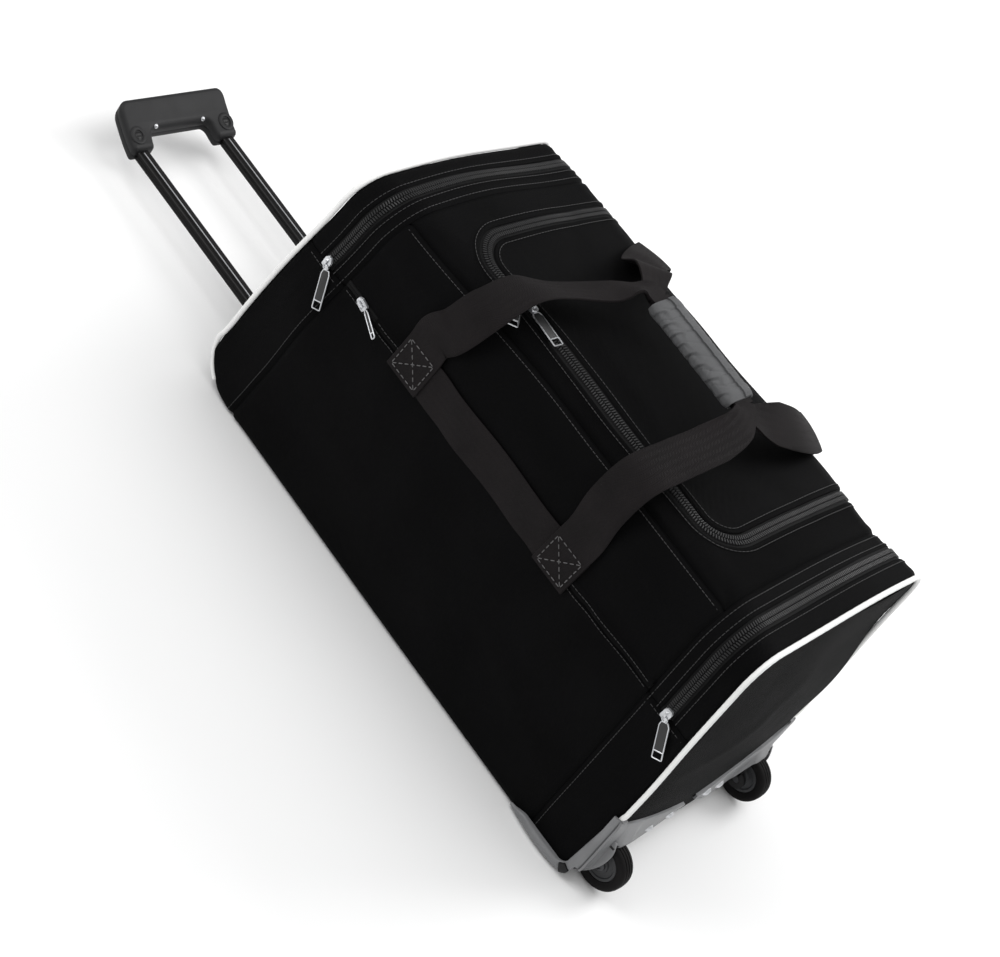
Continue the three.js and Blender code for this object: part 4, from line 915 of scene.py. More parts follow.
def cloth_panels():
    """All sewn panels of the body."""
    ends = (-(HALF - CORNER[-1] - SEAM), HALF - CORNER[1] - SEAM)
    wide = BODY["half"][-1] - EDGE_RADIUS - SEAM
    corners = box_corners(ends[0], -wide, ends[1], wide)
    insets, heights = zip(*BOARD_EDGE)
    board = stacked([rounded(corners, BOARD_CORNER, inset) for inset in insets], heights)
    made("base_board", board, BLACK_CLOTH, "base_panel")
    wall_hems = (FREE, TURNED, SEWN, SEWN)
    yoke_hems = (TURNED, SEWN, SEWN, SEWN)
    for side, wall, yoke in ((-1, "pocket_panel", "front_yoke"), (1, "back_panel", "back_yoke")):
        u, s = lower_wall(side)
        hems = wall_hems if side < 0 else (FREE, SEWN, SEWN, SEWN)
        made(wall + "_cloth", panel_between(u, on_side(side, s), hems), BLACK_CLOTH, wall)
        u, s = yoke_wall(side)
        hems = yoke_hems if side < 0 else (SEWN,) * 4
        made(yoke + "_cloth", panel_between(u, on_side(side, s), hems), BLACK_CLOTH, yoke)
    around = panel_between(*top_frame_places(), (TURNED, SEWN, SEWN, SEWN))
    made("roof_round_lid_cloth", around, BLACK_CLOTH, "top_frame")
    made("lid_cloth", panel_between(*lid_places(), (SEWN, TURNED, TURNED, TURNED)), BLACK_CLOTH, "lid")
    for sign, end in END_NAMES.items():
        for side, face in SIDE_NAMES.items():
            u, s = lower_end_places(sign)
            node = f"end_lower_{face}_{end}"
            wall = panel_between(u, on_side(side, s), (FREE, SEWN, SEWN, SEWN))
            made(node + "_cloth", wall, BLACK_CLOTH, node)
        for strip, seam_u in (("inner", END_SEAM + SEAM / 2), ("outer", HALF - PIPING["room"])):
            node = f"end_{strip}_{end}"
            places = end_strip_places(sign, seam_u)
            made(node + "_cloth", panel_between(*places, (SEWN, SEWN, TURNED, SEWN)), BLACK_CLOTH, node)
        end_wall = panel(*end_skin(sign, *end_panel_places(sign)), (FREE, SEWN, SEWN, SEWN))
        obj = made(f"end_panel_{end}_cloth", end_wall, BLACK_CLOTH, f"end_panel_{end}")
        if sign < 0:
            outline = rod_outline(ROD["play"])
            holes = [straight(ROD_WAY, side * ROD["y"], ROD["z"], outline) for side in SIDE_NAMES]
        else:
            low, high = HOUSING["cheek"] - SEAM, HOUSING["side"] + SEAM
            holes = [drum(HOUSING["outer"] + SEAM, *sorted((side * low, side * high))) for side in SIDE_NAMES]
        cut_out(obj, [tool_solid(hole) for hole in holes])


# Lines on the cloth: stitches, zips and piping

def frames(p, n):
    """Side, ahead and up along a line on a surface."""
    ahead = unit(np.gradient(p, axis=0))
    side = unit(np.cross(ahead, n))
    return side, ahead, np.cross(side, ahead)


def evenly(p, n, pitch):
    """A line's points and normals at an even pitch."""
    run = lengths(p)
    count = max(int(run[-1] / pitch), 1)
    at = (np.arange(count) + 0.5) * run[-1] / count
    return tuple(np.stack([np.interp(at, run, a[:, k]) for k in range(3)], -1) for a in (p, n))


def stitch_shape(wide, long):
    """One stitch: a slim round bar along Y that tapers at both ends, partly sunk in the cloth."""
    y = np.array([-1.0, -0.72, 0.72, 1.0])[:, None] * long / 2
    full = np.array([0.35, 1.0, 1.0, 0.35])[:, None] * wide / 2
    angle = np.arange(6) * np.pi / 3
    points = np.stack([full * np.cos(angle), y + 0 * angle, full * np.sin(angle)], -1)
    return grid_part(points, ring=True)


STITCH, STITCH_PITCH = stitch_shape(0.85, 4.3), 5.0
BOX_STITCH, BOX_PITCH = stitch_shape(1.2, 5.0), 7.0

# Stitch rows: the distance from the middle of a zip or from a seam, and the height over the smooth cloth
LID_ROW, END_ROW, POCKET_ROW, FLAP_ROW, SEAM_ROW = 14.0, 13.0, 6.5, 3.0, 6.0
LID_LIFT, ZIP_LIFT, FLAP_LIFT, SEAM_LIFT = 1.1, 0.9, 2.6, 0.4
FLAP = {"start": -222.0, "top": 9.0, "edge": -2.2, "thick": 1.1}
FLAP_STAND = np.array([0.3, 1.6, 2.1, 2.3, 2.3, 2.2, 2.0, 1.5])


def stitch_line(p, n, lift, pitch=STITCH_PITCH, stitch=STITCH):
    """A row of stitches along a line, lying on the cloth."""
    q, up = evenly(p, n, pitch)
    side, ahead, up = frames(q, unit(up))
    return copies(stitch, q + up * lift, side, ahead, up)


def seam_line(u, station, lift):
    """A row of stitches through places on the body."""
    return stitch_line(*skin(u, station), lift)


def stitches():
    """Top stitching beside the zips and along the seams."""
    rows = [seam_line(*lid_path(out), LID_LIFT) for out in (-LID_ROW, LID_ROW)]
    u = np.linspace(-END_SEAM + 5, END_SEAM - 5, 220)
    for side in SIDE_NAMES:
        rows.append(seam_line(u, on_side(side, shifted(u, SHOULDER_SEAM, -SEAM_ROW)), SEAM_LIFT))
        station = shifted(u, wall_station(u, POCKET_ZIP_Z), -POCKET_ROW)
        rows.append(seam_line(u, on_side(side, station), ZIP_LIFT))
    band = WEBBING["width"] / 2 + 4
    for start, end in ((FLAP["start"] + 4, BOX_X[0] - band), (BOX_X[1] + band, END_SEAM - 5)):
        flap_u = np.linspace(start, end, 60)
        station = shifted(flap_u, wall_station(flap_u, POCKET_ZIP_Z), FLAP_ROW)
        rows.append(seam_line(flap_u, station, FLAP_LIFT))
    around = np.linspace(1.4, 8.6, 420)
    for sign in END_NAMES:
        rows.append(seam_line(np.full_like(around, sign * (END_SEAM + SEAM_ROW)), around, SEAM_LIFT))
        middle = sign * END_ZIP_U
        s = end_station(middle, END_T)
        z = bag_point(middle, s)[..., 2]
        for off in (-END_ROW, END_ROW):
            rows.append(seam_line(middle + off / (1 - TAPER * z), s, ZIP_LIFT))
        low = np.linspace(END_SEAM + 5, HALF - 8, 40) * sign
        for side in SIDE_NAMES:
            rows.append(seam_line(low, on_side(side, wall_station(low, END_ZIP_Z - SEAM_ROW)), SEAM_LIFT))
    made("top_stitching", joined(*rows), DARK_THREAD, sharp=180.0)


# Sections of a zip's tape and of the pocket's hidden zip
ZIP_TAPE_OUTLINE = [(-8.6, -2.3), (8.6, -2.3), (8.6, -1.3), (3, -0.9), (-3, -0.9), (-8.6, -1.3)]
HIDDEN_OUTLINE = [(-3.8, -2.5), (3.8, -2.5), (3.8, -1.0), (0.5, -0.5), (0, -1.4), (-0.5, -0.5), (-3.8, -1.0)]
TOOTH_PITCH = 3.0


def tooth(side):
    """One tooth of a zip on one of its tapes: a low bar with round shoulders, slanted from the middle out."""
    corners = np.array([(0.25, -1.1), (5.4, -0.2), (5.4, 1.7), (0.25, 0.8)])
    corners = corners if side > 0 else (corners * vec(-1, 1))[::-1]
    outline, crown = rounded(corners, 0.55, 0.0, 2), rounded(corners, 0.55, 0.42, 2)
    return stacked([outline, outline, crown], (-1.1, 0.45, 0.95))


def zip_run(name, u, station, coil=True):
    """A zip along places on the body: a tape carried along them and, where they show, two rows of teeth half
    a pitch apart."""
    p, n = evenly(*skin(u, station), 4.0)
    ends = skin(u[[0, -1]], station[[0, -1]])
    p = np.concatenate([ends[0][:1], p, ends[0][1:]])
    n = unit(np.concatenate([ends[1][:1], n, ends[1][1:]]))
    side, ahead, up = frames(p, n)
    outline = ZIP_TAPE_OUTLINE if coil else HIDDEN_OUTLINE
    run = np.repeat(lengths(p)[:, None], len(outline), axis=1)
    across = np.tile(np.array(outline)[:, 0], (len(p), 1))
    tape = swept(p, side, up, outline, uv=np.stack([run, across], -1) * MM)
    made(name + "_tape", tape, ZIP_TAPE, name, slot="zip")
    if coil:
        q, m = evenly(p, n, TOOTH_PITCH)
        side, ahead, up = frames(q, unit(m))
        rows = [copies(tooth(k), q + ahead * (k * TOOTH_PITCH / 4), side, ahead, up) for k in (-1, 1)]
        made(name + "_coil", joined(*rows), ZIP_COIL, slot="zip")


def zips():
    """The lid's zip, the two end zips and the hidden zip of the pocket with its flap, whose edge is a sum of
    two sine waves."""
    zip_run("lid_zip", *lid_path(0.0))
    for sign, end in END_NAMES.items():
        middle = np.full(len(END_T), sign * END_ZIP_U)
        zip_run("end_zip_" + end, middle, end_station(middle, END_T))
    u = np.linspace(WALL_U[0], WALL_U[-1], 160)
    zip_run("pocket_zip", u, wall_station(u, POCKET_ZIP_Z), coil=False)
    u = np.linspace(FLAP["start"], END_SEAM - 1, 260)[None]
    wave = 0.9 * np.sin(u / 9.0) * rise(u, 40, 150) + 0.5 * np.sin(u / 23.0 + 1)
    drop = mix(FLAP["top"], FLAP["edge"] + wave, np.linspace(0, 1, len(FLAP_STAND))[:, None])
    station = shifted(u, wall_station(u, POCKET_ZIP_Z), drop)
    p, n = skin(u + 0 * station, station)
    grid = p + n * FLAP_STAND[:, None, None]
    uv = np.stack([lengths(grid, 1), lengths(grid, 0)], -1) * MM
    made("pocket_flap", sheet_part(grid, grid - n * FLAP["thick"], uv), BLACK_CLOTH)


def tube_line(points, radius, sign):
    """A round cord carried along points near an end, a little fuller between its stitches."""
    ahead = unit(np.gradient(points, axis=0))
    side = unit(vec(sign, 0, 0) - ahead * (ahead[:, :1] * sign))
    angle = circle(12)
    run = lengths(points)
    full = (radius + 0.1 * np.sin(run * 2 * np.pi / 9.0))[:, None]
    ring = np.stack([full * np.cos(angle), full * np.sin(angle)], -1)
    uv = np.stack([run[:, None] + 0 * angle, radius * angle + 0 * run[:, None]], -1) * MM
    return swept(points, side, np.cross(ahead, side), ring, uv=uv)


def piping():
    """White piping round each end panel. At the handle end it runs on round the foot to the base, and at the
    wheel end it sinks in under the guards."""
    for sign, end in END_NAMES.items():
        at = np.array(sign * HALF)
        start = wall_station(at, GUARD["top"] - 6 if sign > 0 else CORNER[-1] + 3)
        wall, shoulder = np.linspace(start, 3, 60), np.linspace(3, 4, 24)
        front = np.concatenate([wall[:-1], shoulder[:-1], np.linspace(4, 5, 24)])
        s = np.concatenate([front, 10 - front[-2::-1]])
        p, n = skin(np.full_like(s, sign * HALF), s)
        points = p - n * vec(0, 1, 1) * PIPING["sink"]
        if sign > 0:
            under = PIPING["tuck"] * (1 - rise(p[:, 2], GUARD["top"] - 4, GUARD["top"] + 9))
            points = points - (n * vec(0, 1, 0) + vec(1, 0, 0)) * under[:, None]
        else:
            clear = PIPING["radius"] + SEAM
            turn = np.linspace(PIPING["foot"], QUARTER, 24)
            z = CORNER[-1] * (1 - np.cos(turn)) + clear
            along = HALF - CORNER[-1] + CORNER[-1] * np.sin(turn) + PIPING["sink"]
            inset = mix(clear, PIPING["sink"], rise(turn, 1.0, QUARTER))
            foot = np.column_stack([-along * (1 - TAPER * z), -(BODY["half"][0] - inset), z])
            points = np.concatenate([foot[:-1], points, foot[-2::-1] * vec(1, -1, 1)])
        cord = tube_line(points, PIPING["radius"], sign)
        made("piping_cord_" + end, cord, PIPING_CLOTH, "piping_" + end, slot="piping")


# Sliders and pull tabs

SLIDER = {"wide": 10.0, "long": 14.0, "round": 1.6}

# A slider's edge from below, two plates with a waist between them: inset and height
SLIDER_EDGE = (
    (0.5, 0.0), (0.0, 0.3), (0.0, 1.0), (0.9, 1.3), (0.9, 2.0), (0.0, 2.3), (0.0, 3.2), (0.6, 3.7),
)
LINK = {"radius": 3.2, "wire": 0.75, "lean": 0.35}
TAB = {"wide": 12.5, "long": 44.0, "window": 9.5}
SMALL_TAB = {"wide": 6.0, "long": 34.0, "window": 7.0}
TAB_ROUND = 1.8
TAB_ROOM, HIDDEN_ZIP_ROOM = 1.6, 3.4
END_HANG = (0.49, 0, -0.87)

# Pulls: name, wall or roof, the two numbers of its place there, the way the slider faces, the way the tab
# hangs, the height of the teeth, and the tab
PULLS = (
    ("end_handle", "wall", -END_ZIP_U, END_ZIP_Z + 5, (0, 0, 1), END_HANG, 0.9, TAB),
    ("end_wheel", "wall", END_ZIP_U, END_ZIP_Z + 5, (0, 0, 1), END_HANG, 0.9, TAB),
    ("lid_a", "roof", -130.0, LID["front"], (1, 0, 0), (0.62, -0.78, -0.05), 0.9, TAB),
    ("lid_b", "roof", -111.0, LID["front"], (-1, 0, 0), (0.99, -0.1, 0), 0.9, TAB),
    ("pocket", "wall", -248.0, POCKET_ZIP_Z, (-5, 0, 1), (5, 0, -1), 0.0, SMALL_TAB),
)


def slider_corners():
    """A slider's outline: square behind, narrowed in front."""
    wide, long = SLIDER["wide"], SLIDER["long"]
    return np.array([
        (-wide / 2, -long / 2), (wide / 2, -long / 2), (wide / 2, long / 4),
        (wide / 4, long / 2), (-wide / 4, long / 2), (-wide / 2, long / 4),
    ])


def slider_shape():
    """A slider: two rounded plates with a waist between them, and a bridge over the top."""
    insets, heights = zip(*SLIDER_EDGE)
    plates = stacked([rounded(slider_corners(), SLIDER["round"], inset) for inset in insets], heights)
    turn = np.linspace(0, np.pi, 15)
    arch = np.column_stack([0 * turn, -4.2 * np.cos(turn), 3.3 + 2.6 * np.sin(turn)])
    ahead = unit(np.gradient(arch, axis=0))
    side = np.tile(vec(1, 0, 0), (len(turn), 1))
    bridge = swept(arch, side, np.cross(ahead, side), rounded(box_corners(-1.4, -0.6, 1.4, 0.6), 0.5, 0, 2))
    return joined(plates, bridge)


def tab_shapes(tab):
    """A pull tab: a bright rim carried round its outline, a bar over its window, and a dark plate inside."""
    wide, long, window = tab["wide"] / 2, tab["long"], tab["window"]
    neck = [(wide, -5.0), (wide * 0.66, 0.0), (-wide * 0.66, 0.0), (-wide, -5.0)]
    line = rounded([(-wide, -long), (wide, -long), *neck], TAB_ROUND, 0.75, 4)
    path = np.column_stack([line, np.full(len(line), 0.8)])
    ahead = unit(np.roll(path, -1, axis=0) - np.roll(path, 1, axis=0))
    up = np.tile(vec(0, 0, 1), (len(path), 1))
    angle = np.arange(8) * np.pi / 4 + np.pi / 8
    section = np.column_stack([0.8 * np.cos(angle), 0.9 * np.sin(angle)])
    rim = swept(path, np.cross(ahead, up), up, section, loop=True)
    low = -long + window
    across = box_corners(-wide + 0.6, low - 0.7, wide - 0.6, low + 0.7)
    bar = stacked([rounded(across, 0.3, inset, 2) for inset in (0, 0, 0.3)], (0.1, 1.2, 1.5))
    inside = [(-wide, low), (wide, low), *neck]
    plate = stacked([rounded(inside, TAB_ROUND, inset, 4) for inset in (0.9, 0.9, 1.3)], (0.3, 1.1, 1.3))
    return joined(rim, bar), plate


def lean_over(where, start, away, up, tab, room):
    """Slope at which a tab clears the cloth under it by the room, from the cloth's height along its line."""
    run = np.linspace(10, tab["long"], 12)
    at = start + away * run[:, None]
    if where == "wall":
        u = at[:, 0] / (1 - TAPER * at[:, 2])
        under, _ = skin(u, wall_station(u, at[:, 2]))
    else:
        under, _ = skin(*roof_place(at[:, 0], at[:, 1]))
    return max((((under - start) @ up + room) / run).max(), 0.0)


def pulls():
    """Each zip's slider, the ring through its bridge, and its tab leaning over the cloth."""
    for name, where, a, b, face, hang, coil, tab in PULLS:
        a, b = np.array(a), np.array(b)
        u, s = (a, wall_station(a, b)) if where == "wall" else roof_place(a, b)
        p, up = skin(u, s)
        ahead = unit(vec(*face) - up * (vec(*face) @ up))
        away = unit(vec(*hang) - up * (vec(*hang) @ up))
        turn = math.acos(np.clip(away @ ahead, -1, 1))
        corners = slider_corners()
        reach = (corners[:, 1] * math.cos(turn) + np.abs(corners[:, 0]) * math.sin(turn)).max() + 0.3
        body_part = set_at(slider_shape(), p + up * (coil + 0.3), np.cross(ahead, up), ahead, up)
        link_at = p + up * (coil + 4.2) + away * (reach - LINK["radius"])
        lean = unit(away - up * LINK["lean"]), unit(up + away * LINK["lean"])
        link = set_at(wire_ring(LINK["radius"], LINK["wire"]), link_at, np.cross(away, up), *lean)
        made("zip_slider_" + name, joined(body_part, link), NICKEL, "slider_" + name, slot="bright_metal")
        rim, plate = tab_shapes(tab)
        origin = p + away * reach + up * (coil + 1.2)
        slope = lean_over(where, origin, away, up, tab, TAB_ROOM if coil else HIDDEN_ZIP_ROOM)
        away, up = unit(away + up * slope), unit(up - away * slope)
        axes = (np.cross(-away, up), -away, up)
        made("pull_tab_" + name, set_at(rim, origin, *axes), NICKEL, "tab_" + name, slot="bright_metal")
        made("pull_inlay_" + name, set_at(plate, origin, *axes), TAB_INLAY, slot="bright_metal")


# Carry handles

# Rows of each strap beyond its sewn box, all as on the front: place, way across, and share folded
STRAP_ROWS = {
    -1: [
        np.array([
            [-133, -174, 326, 1, 0, 0.1, 0],
            [-124, -164, 370, 1, 0.1, 0.2, 0],
            [-122, -126, 393, 0.95, 0, 0.3, 0],
            [-106, -80, 398, 0.85, -0.2, 0.45, 0.3],
            [-80, -38, 415, 0.8, -0.5, 0.2, 0.6],
            [-66, -11, 430, 0, -1, 0, 1],
        ], float),
        np.array([
            [104, -172, 345, 1, 0, -0.05, 0],
            [103, -158, 386, 1, 0, 0, 0],
            [107, -112, 405, 1, 0.05, 0.1, 0],
            [110, -66, 417, 0.95, 0.25, 0.2, 0],
            [108, -31, 427, 0.8, 0.6, 0.1, 0.5],
            [97, -10, 430, 0, 1, 0, 1],
        ], float),
    ],
    1: [
        np.array([
            [-142, -173, 322, 1, 0, 0.1, 0],
            [-136, -152, 357, 1, 0, 0.2, 0],
            [-126, -110, 377, 0.9, -0.3, 0.2, 0],
            [-112, -72, 388, 0.8, -0.55, 0.15, 0],
            [-92, -44, 417, 0.72, -0.68, 0.16, 0.3],
            [-76, -24, 421, 0.5, -0.85, 0.1, 0.8],
            [-64, -9, 422, 0, -1, 0, 1],
        ], float),
        np.array([
            [114, -173, 338, 1, 0, -0.05, 0],
            [124, -154, 372, 1, 0, -0.15, 0],
            [132, -112, 396, 0.95, 0, -0.3, 0],
            [130, -78, 410, 0.9, 0.1, -0.4, 0],
            [118, -42, 418, 0.75, 0.25, -0.45, 0.1],
            [99, -9, 421.5, 0, 1, 0, 1],
        ], float),
    ],
}
SEWN_HEIGHTS = BOX_Z + np.array([-24.0, 0.0, 24.0, 48.0])
ROW_STEPS = 12
STRAP_LIFT = 4.2
STRAP_CURL = 2.6
BOX_HALF = 19.0
ROLL = {"start": 0.36 * np.pi, "round": 2.13 * np.pi, "power": 0.62, "inset": 1.2, "wall": 2.2}


def through(rows, t):
    """A centripetal curve through rows of numbers: between two rows, a cubic with slopes that allow for the
    square roots of the distances between the four rows about it."""
    ends = np.concatenate([2 * rows[:1] - rows[1:2], rows, 2 * rows[-1:] - rows[-2:-1]])
    i = np.minimum(t.astype(int), len(rows) - 2)
    q = (t - i)[:, None]
    p0, p1, p2, p3 = (ends[i + k] for k in range(4))
    d0, d1, d2 = (
        np.maximum(np.linalg.norm(b - a, axis=-1, keepdims=True), 1e-6) ** 0.5
        for a, b in ((p0, p1), (p1, p2), (p2, p3))
    )
    slope1 = ((p1 - p0) / d0 - (p2 - p0) / (d0 + d1) + (p2 - p1) / d1) * d1
    slope2 = ((p2 - p1) / d1 - (p3 - p1) / (d1 + d2) + (p3 - p2) / d2) * d1
    square, cube = q * q, q * q * q
    return (
        (2 * cube - 3 * square + 1) * p1
        + (cube - 2 * square + q) * slope1
        + (-2 * cube + 3 * square) * p2
        + (cube - square) * slope2
    )


def band_ring():
    """Section of webbing, one wide and one thick each way: flat faces with round edges."""
    w = np.linspace(-0.975, 0.975, 9)
    face = np.column_stack([w, np.ones_like(w)])
    edge = np.array([[1.0, 0.45], [1.0, -0.45]])
    return np.concatenate([face, edge, -face, -edge])


def strap_line(index, side):
    """Middle line of a strap, from its sewn box over the shoulder to the wrap, as a curve through the rows,
    with its way across, its outward way, how far it is folded and the row number at each point."""
    x = BOX_X[index]
    u = x / (1 - TAPER * SEWN_HEIGHTS)
    p, n = skin(u, on_side(side, wall_station(u, SEWN_HEIGHTS)))
    free = STRAP_ROWS[side][index]
    sewn = np.zeros((len(u), free.shape[1]))
    sewn[:, :3] = (p + n * STRAP_LIFT) * vec(1, -side, 1)
    sewn[:, 3] = 1
    level = FOLDED["apart"] * -side
    last = free[-1:].copy()
    last[:, :3] = vec(WRAP["left"] - 2 if index == 0 else WRAP["right"] + 2, 0, WRAP["z"] + level)
    rows = np.concatenate([sewn, free, last])
    t = np.linspace(0, len(rows) - 1, ROW_STEPS * (len(rows) - 1) + 1)
    centre, wide = through(rows[:, :3], t), through(rows[:, 3:6], t)
    fold = np.interp(t, np.arange(len(rows)), rows[:, 6])
    ahead = unit(np.gradient(centre, axis=0))
    across = unit(wide - ahead * (wide * ahead).sum(-1, keepdims=True))
    return centre, across, np.cross(across, ahead), fold, t


def strap(index, side):
    """A strap: the webbing's section carried along its line, from wide and thin to folded narrow and thick,
    curling a little where it hangs free."""
    centre, across, up, fold, t = strap_line(index, side)
    ring = band_ring()
    half = (mix(WEBBING["width"], FOLDED["width"], fold) / 2)[:, None]
    thick = (mix(WEBBING["thick"], FOLDED["thick"], fold) / 2)[:, None]
    curl = (STRAP_CURL * np.sin(np.pi * np.clip((t - 3) / 5, 0, 1)))[:, None] * (ring[:, 0] ** 2 - 0.4)
    section = np.stack([half * ring[:, 0], thick * ring[:, 1] - curl], -1)
    uv = np.stack([lengths(centre)[:, None] + 0 * half * ring[:, 0], half * ring[:, 0]], -1) * MM
    part = swept(centre, across, up, section, uv=uv)
    return part if side < 0 else mirrored(part)


def sewn_box(index, side):
    """Stitches of one box on its strap's face: a square with both diagonals."""
    line = [column[:len(SEWN_HEIGHTS) * ROW_STEPS] for column in strap_line(index, side)[:3]]
    heights = line[0][:, 2]
    corners = np.array(box_corners(-BOX_HALF, -BOX_HALF, BOX_HALF, BOX_HALF))
    lift = WEBBING["thick"] / 2 + 0.2
    rows = []
    for a, b in ((0, 1), (1, 2), (2, 3), (3, 0), (0, 2), (1, 3)):
        place = mix(corners[a], corners[b], np.linspace(0, 1, 30)[:, None])
        z = BOX_Z + place[:, 1]
        middle, wide, out = (
            np.stack([np.interp(z, heights, way[:, k]) for k in range(3)], -1) for way in line
        )
        rows.append(stitch_line(middle + wide * place[:, :1], out, lift, BOX_PITCH, BOX_STITCH))
    part = joined(*rows)
    return part if side < 0 else mirrored(part)


def carry_straps():
    """Both handles: a band along each yoke, a strap from each end of it, the folded stretch inside the wrap,
    and the sewn boxes."""
    half = WEBBING["width"] / 2
    for side, face in SIDE_NAMES.items():
        x = mix(BOX_X[0] - half, BOX_X[1] + half, spaced(300, 8.0))[:, None]
        z = BOX_Z + mix(-half, half, np.linspace(0, 1, 13))
        u = x / (1 - TAPER * z)
        p, n = skin(u, on_side(side, wall_station(u, z)))
        edge = 0.7 * np.abs((z - BOX_Z) / half) ** 14
        outer = p + n * (WEBBING["lift"] + WEBBING["thick"] - edge)[..., None]
        inner = p + n * (WEBBING["lift"] + edge * 0.5)[..., None]
        uv = np.stack([lengths(outer, 0), lengths(outer, 1)], -1) * MM
        parts = [sheet_part(outer, inner, uv)]
        parts += [strap(index, side) for index in (0, 1)]
        run = np.linspace(WRAP["left"] - 6, WRAP["right"] + 6, 24)
        ring = band_ring() * vec(FOLDED["width"] / 2, FOLDED["thick"] / 2)
        inside = straight(run, 0.0, WRAP["z"] - FOLDED["apart"] * side, ring)
        parts.append(inside)
        boxes = [sewn_box(index, side) for index in (0, 1)]
        made("carry_strap_" + face, joined(*parts), STRAP_CLOTH, "webbing_" + face, slot="webbing")
        made("strap_stitching_" + face, joined(*boxes), THREAD, slot="webbing", sharp=180.0)


def wrap_pad():
    """The padded wrap: a sheet rolled a little more than once round the straps. Its section is a
    superellipse, and the free edge lies over the start as a flap. Narrow creases, powers of one less the size
    of a sine, run across it, slanted folds like saw teeth lie along its front, and the ends draw in."""

    def square(v):
        """The superellipse's signed power."""
        return np.sign(v) * np.abs(v) ** ROLL["power"]

    x = mix(WRAP["left"], WRAP["right"], spaced(130, 0.9))
    turn = np.linspace(0, 1, 150)
    angle = ROLL["start"] + turn * ROLL["round"]
    spiral = 0.2 + 2.6 * rise(turn, 0.90, 0.955) - 0.5 * rise(turn, 0.98, 1.0)
    end = np.minimum(x - WRAP["left"], WRAP["right"] - x)
    pad = -1.6 * np.exp(-((end / 3.0) ** 2)) + 0.7 * np.exp(-(((end - 9) / 6) ** 2))
    along = x[:, None]
    crease_a = along / 3.1 + 1.5 * np.sin(angle) + 0.6 * np.sin(along / 17)
    crease_b = along / 5.3 - 2.0 * np.cos(angle) + 0.8 * np.sin(along / 23 + 1)
    deep_a = 0.5 + 0.5 * np.sin(2 * angle + along / 13)
    wrinkle = -0.9 * deep_a * (1 - np.abs(np.sin(crease_a))) ** 3 - 0.9 * (1 - np.abs(np.sin(crease_b))) ** 4
    tooth = (along / 15.5 + 0.3 * np.sin(along / 19) + 0.55 * angle / np.pi) % 1
    tooth = np.where(tooth < 0.88, tooth / 0.88, (1 - tooth) / 0.12)
    edge = 0.72 + 0.07 * np.sin(along / 11) + 0.05 * np.sin(along / 4.7)
    front = rise(angle / np.pi, edge - 0.1, edge + 0.03) * (1 - rise(angle / np.pi, 1.1, 1.25))
    wrinkle = (wrinkle - 2.4 * (1 - tooth) * front) * rise(end, 2, 14)[:, None]
    stand = spiral[None] + pad[:, None] + wrinkle
    deep, half = WRAP["deep"] - ROLL["inset"], WRAP["half"] - ROLL["inset"]
    cos, sin = square(np.cos(angle)), square(np.sin(angle))
    out = unit(np.column_stack([np.cos(angle) / half, np.sin(angle) / deep]) * vec(half, deep).mean())
    y = half * cos + out[:, 0] * stand
    z = WRAP["z"] + deep * sin + out[:, 1] * stand
    grid = np.stack([np.broadcast_to(x[:, None], y.shape), y, z], -1)
    wall = np.stack([0 * y, np.broadcast_to(out[:, 0], y.shape), np.broadcast_to(out[:, 1], y.shape)], -1)
    uv = np.stack([lengths(grid, 0), lengths(grid, 1)], -1) * MM
    sheet = sheet_part(grid, grid - wall * ROLL["wall"], uv)
    obj = made("padded_wrap", sheet, WRAP_CLOTH, "handle_wrap", slot="wrap")


# Tow handle

def grip_corners():
    """The staple seen from above, turning left."""
    half, far, near = GRIP["half"], GRIP["far"], GRIP["near"]
    inside, hollow = half - GRIP["leg"], far + GRIP["bar"]
    return [
        (near, -half), (near, -inside), (hollow, -inside + GRIP["splay"]), (hollow, inside - GRIP["splay"]),
        (near, inside), (near, half), (far, half), (far, -half),
    ]


def grip_rise(x):
    """How far the grip has curved up: a power of the share of the way from the rods to the bar's far side."""
    share = np.clip((GRIP["near"] - x) / (GRIP["near"] - GRIP["far"]), 0, 1)
    return GRIP_BEND["rise"] * share ** GRIP_BEND["power"]


def curve_up(obj):
    """Cuts the flat grip into slices along X and lifts each point by the grip's curve."""
    work = bmesh.new()
    work.from_mesh(obj.data)
    for x in np.linspace(GRIP["far"] + 4, GRIP["near"] - 4, 14):
        every = work.verts[:] + work.edges[:] + work.faces[:]
        bmesh.ops.bisect_plane(work, geom=every, plane_co=(x * MM, 0, 0), plane_no=(1, 0, 0))
    work.to_mesh(obj.data)
    work.free()
    points = np.empty(len(obj.data.vertices) * 3)
    obj.data.vertices.foreach_get("co", points)
    points = points.reshape(-1, 3)
    points[:, 2] += grip_rise(points[:, 0] / MM) * MM
    obj.data.vertices.foreach_set("co", points.ravel())
    obj.data.update()


# A lug on the grip, from its outer edge to its hollow: radius and height
LUG_EDGE = ((11.5, -0.6), (11.2, 0.7), (10.4, 1.3), (7.0, 1.3), (6.4, 0.9), (6.2, -0.2))


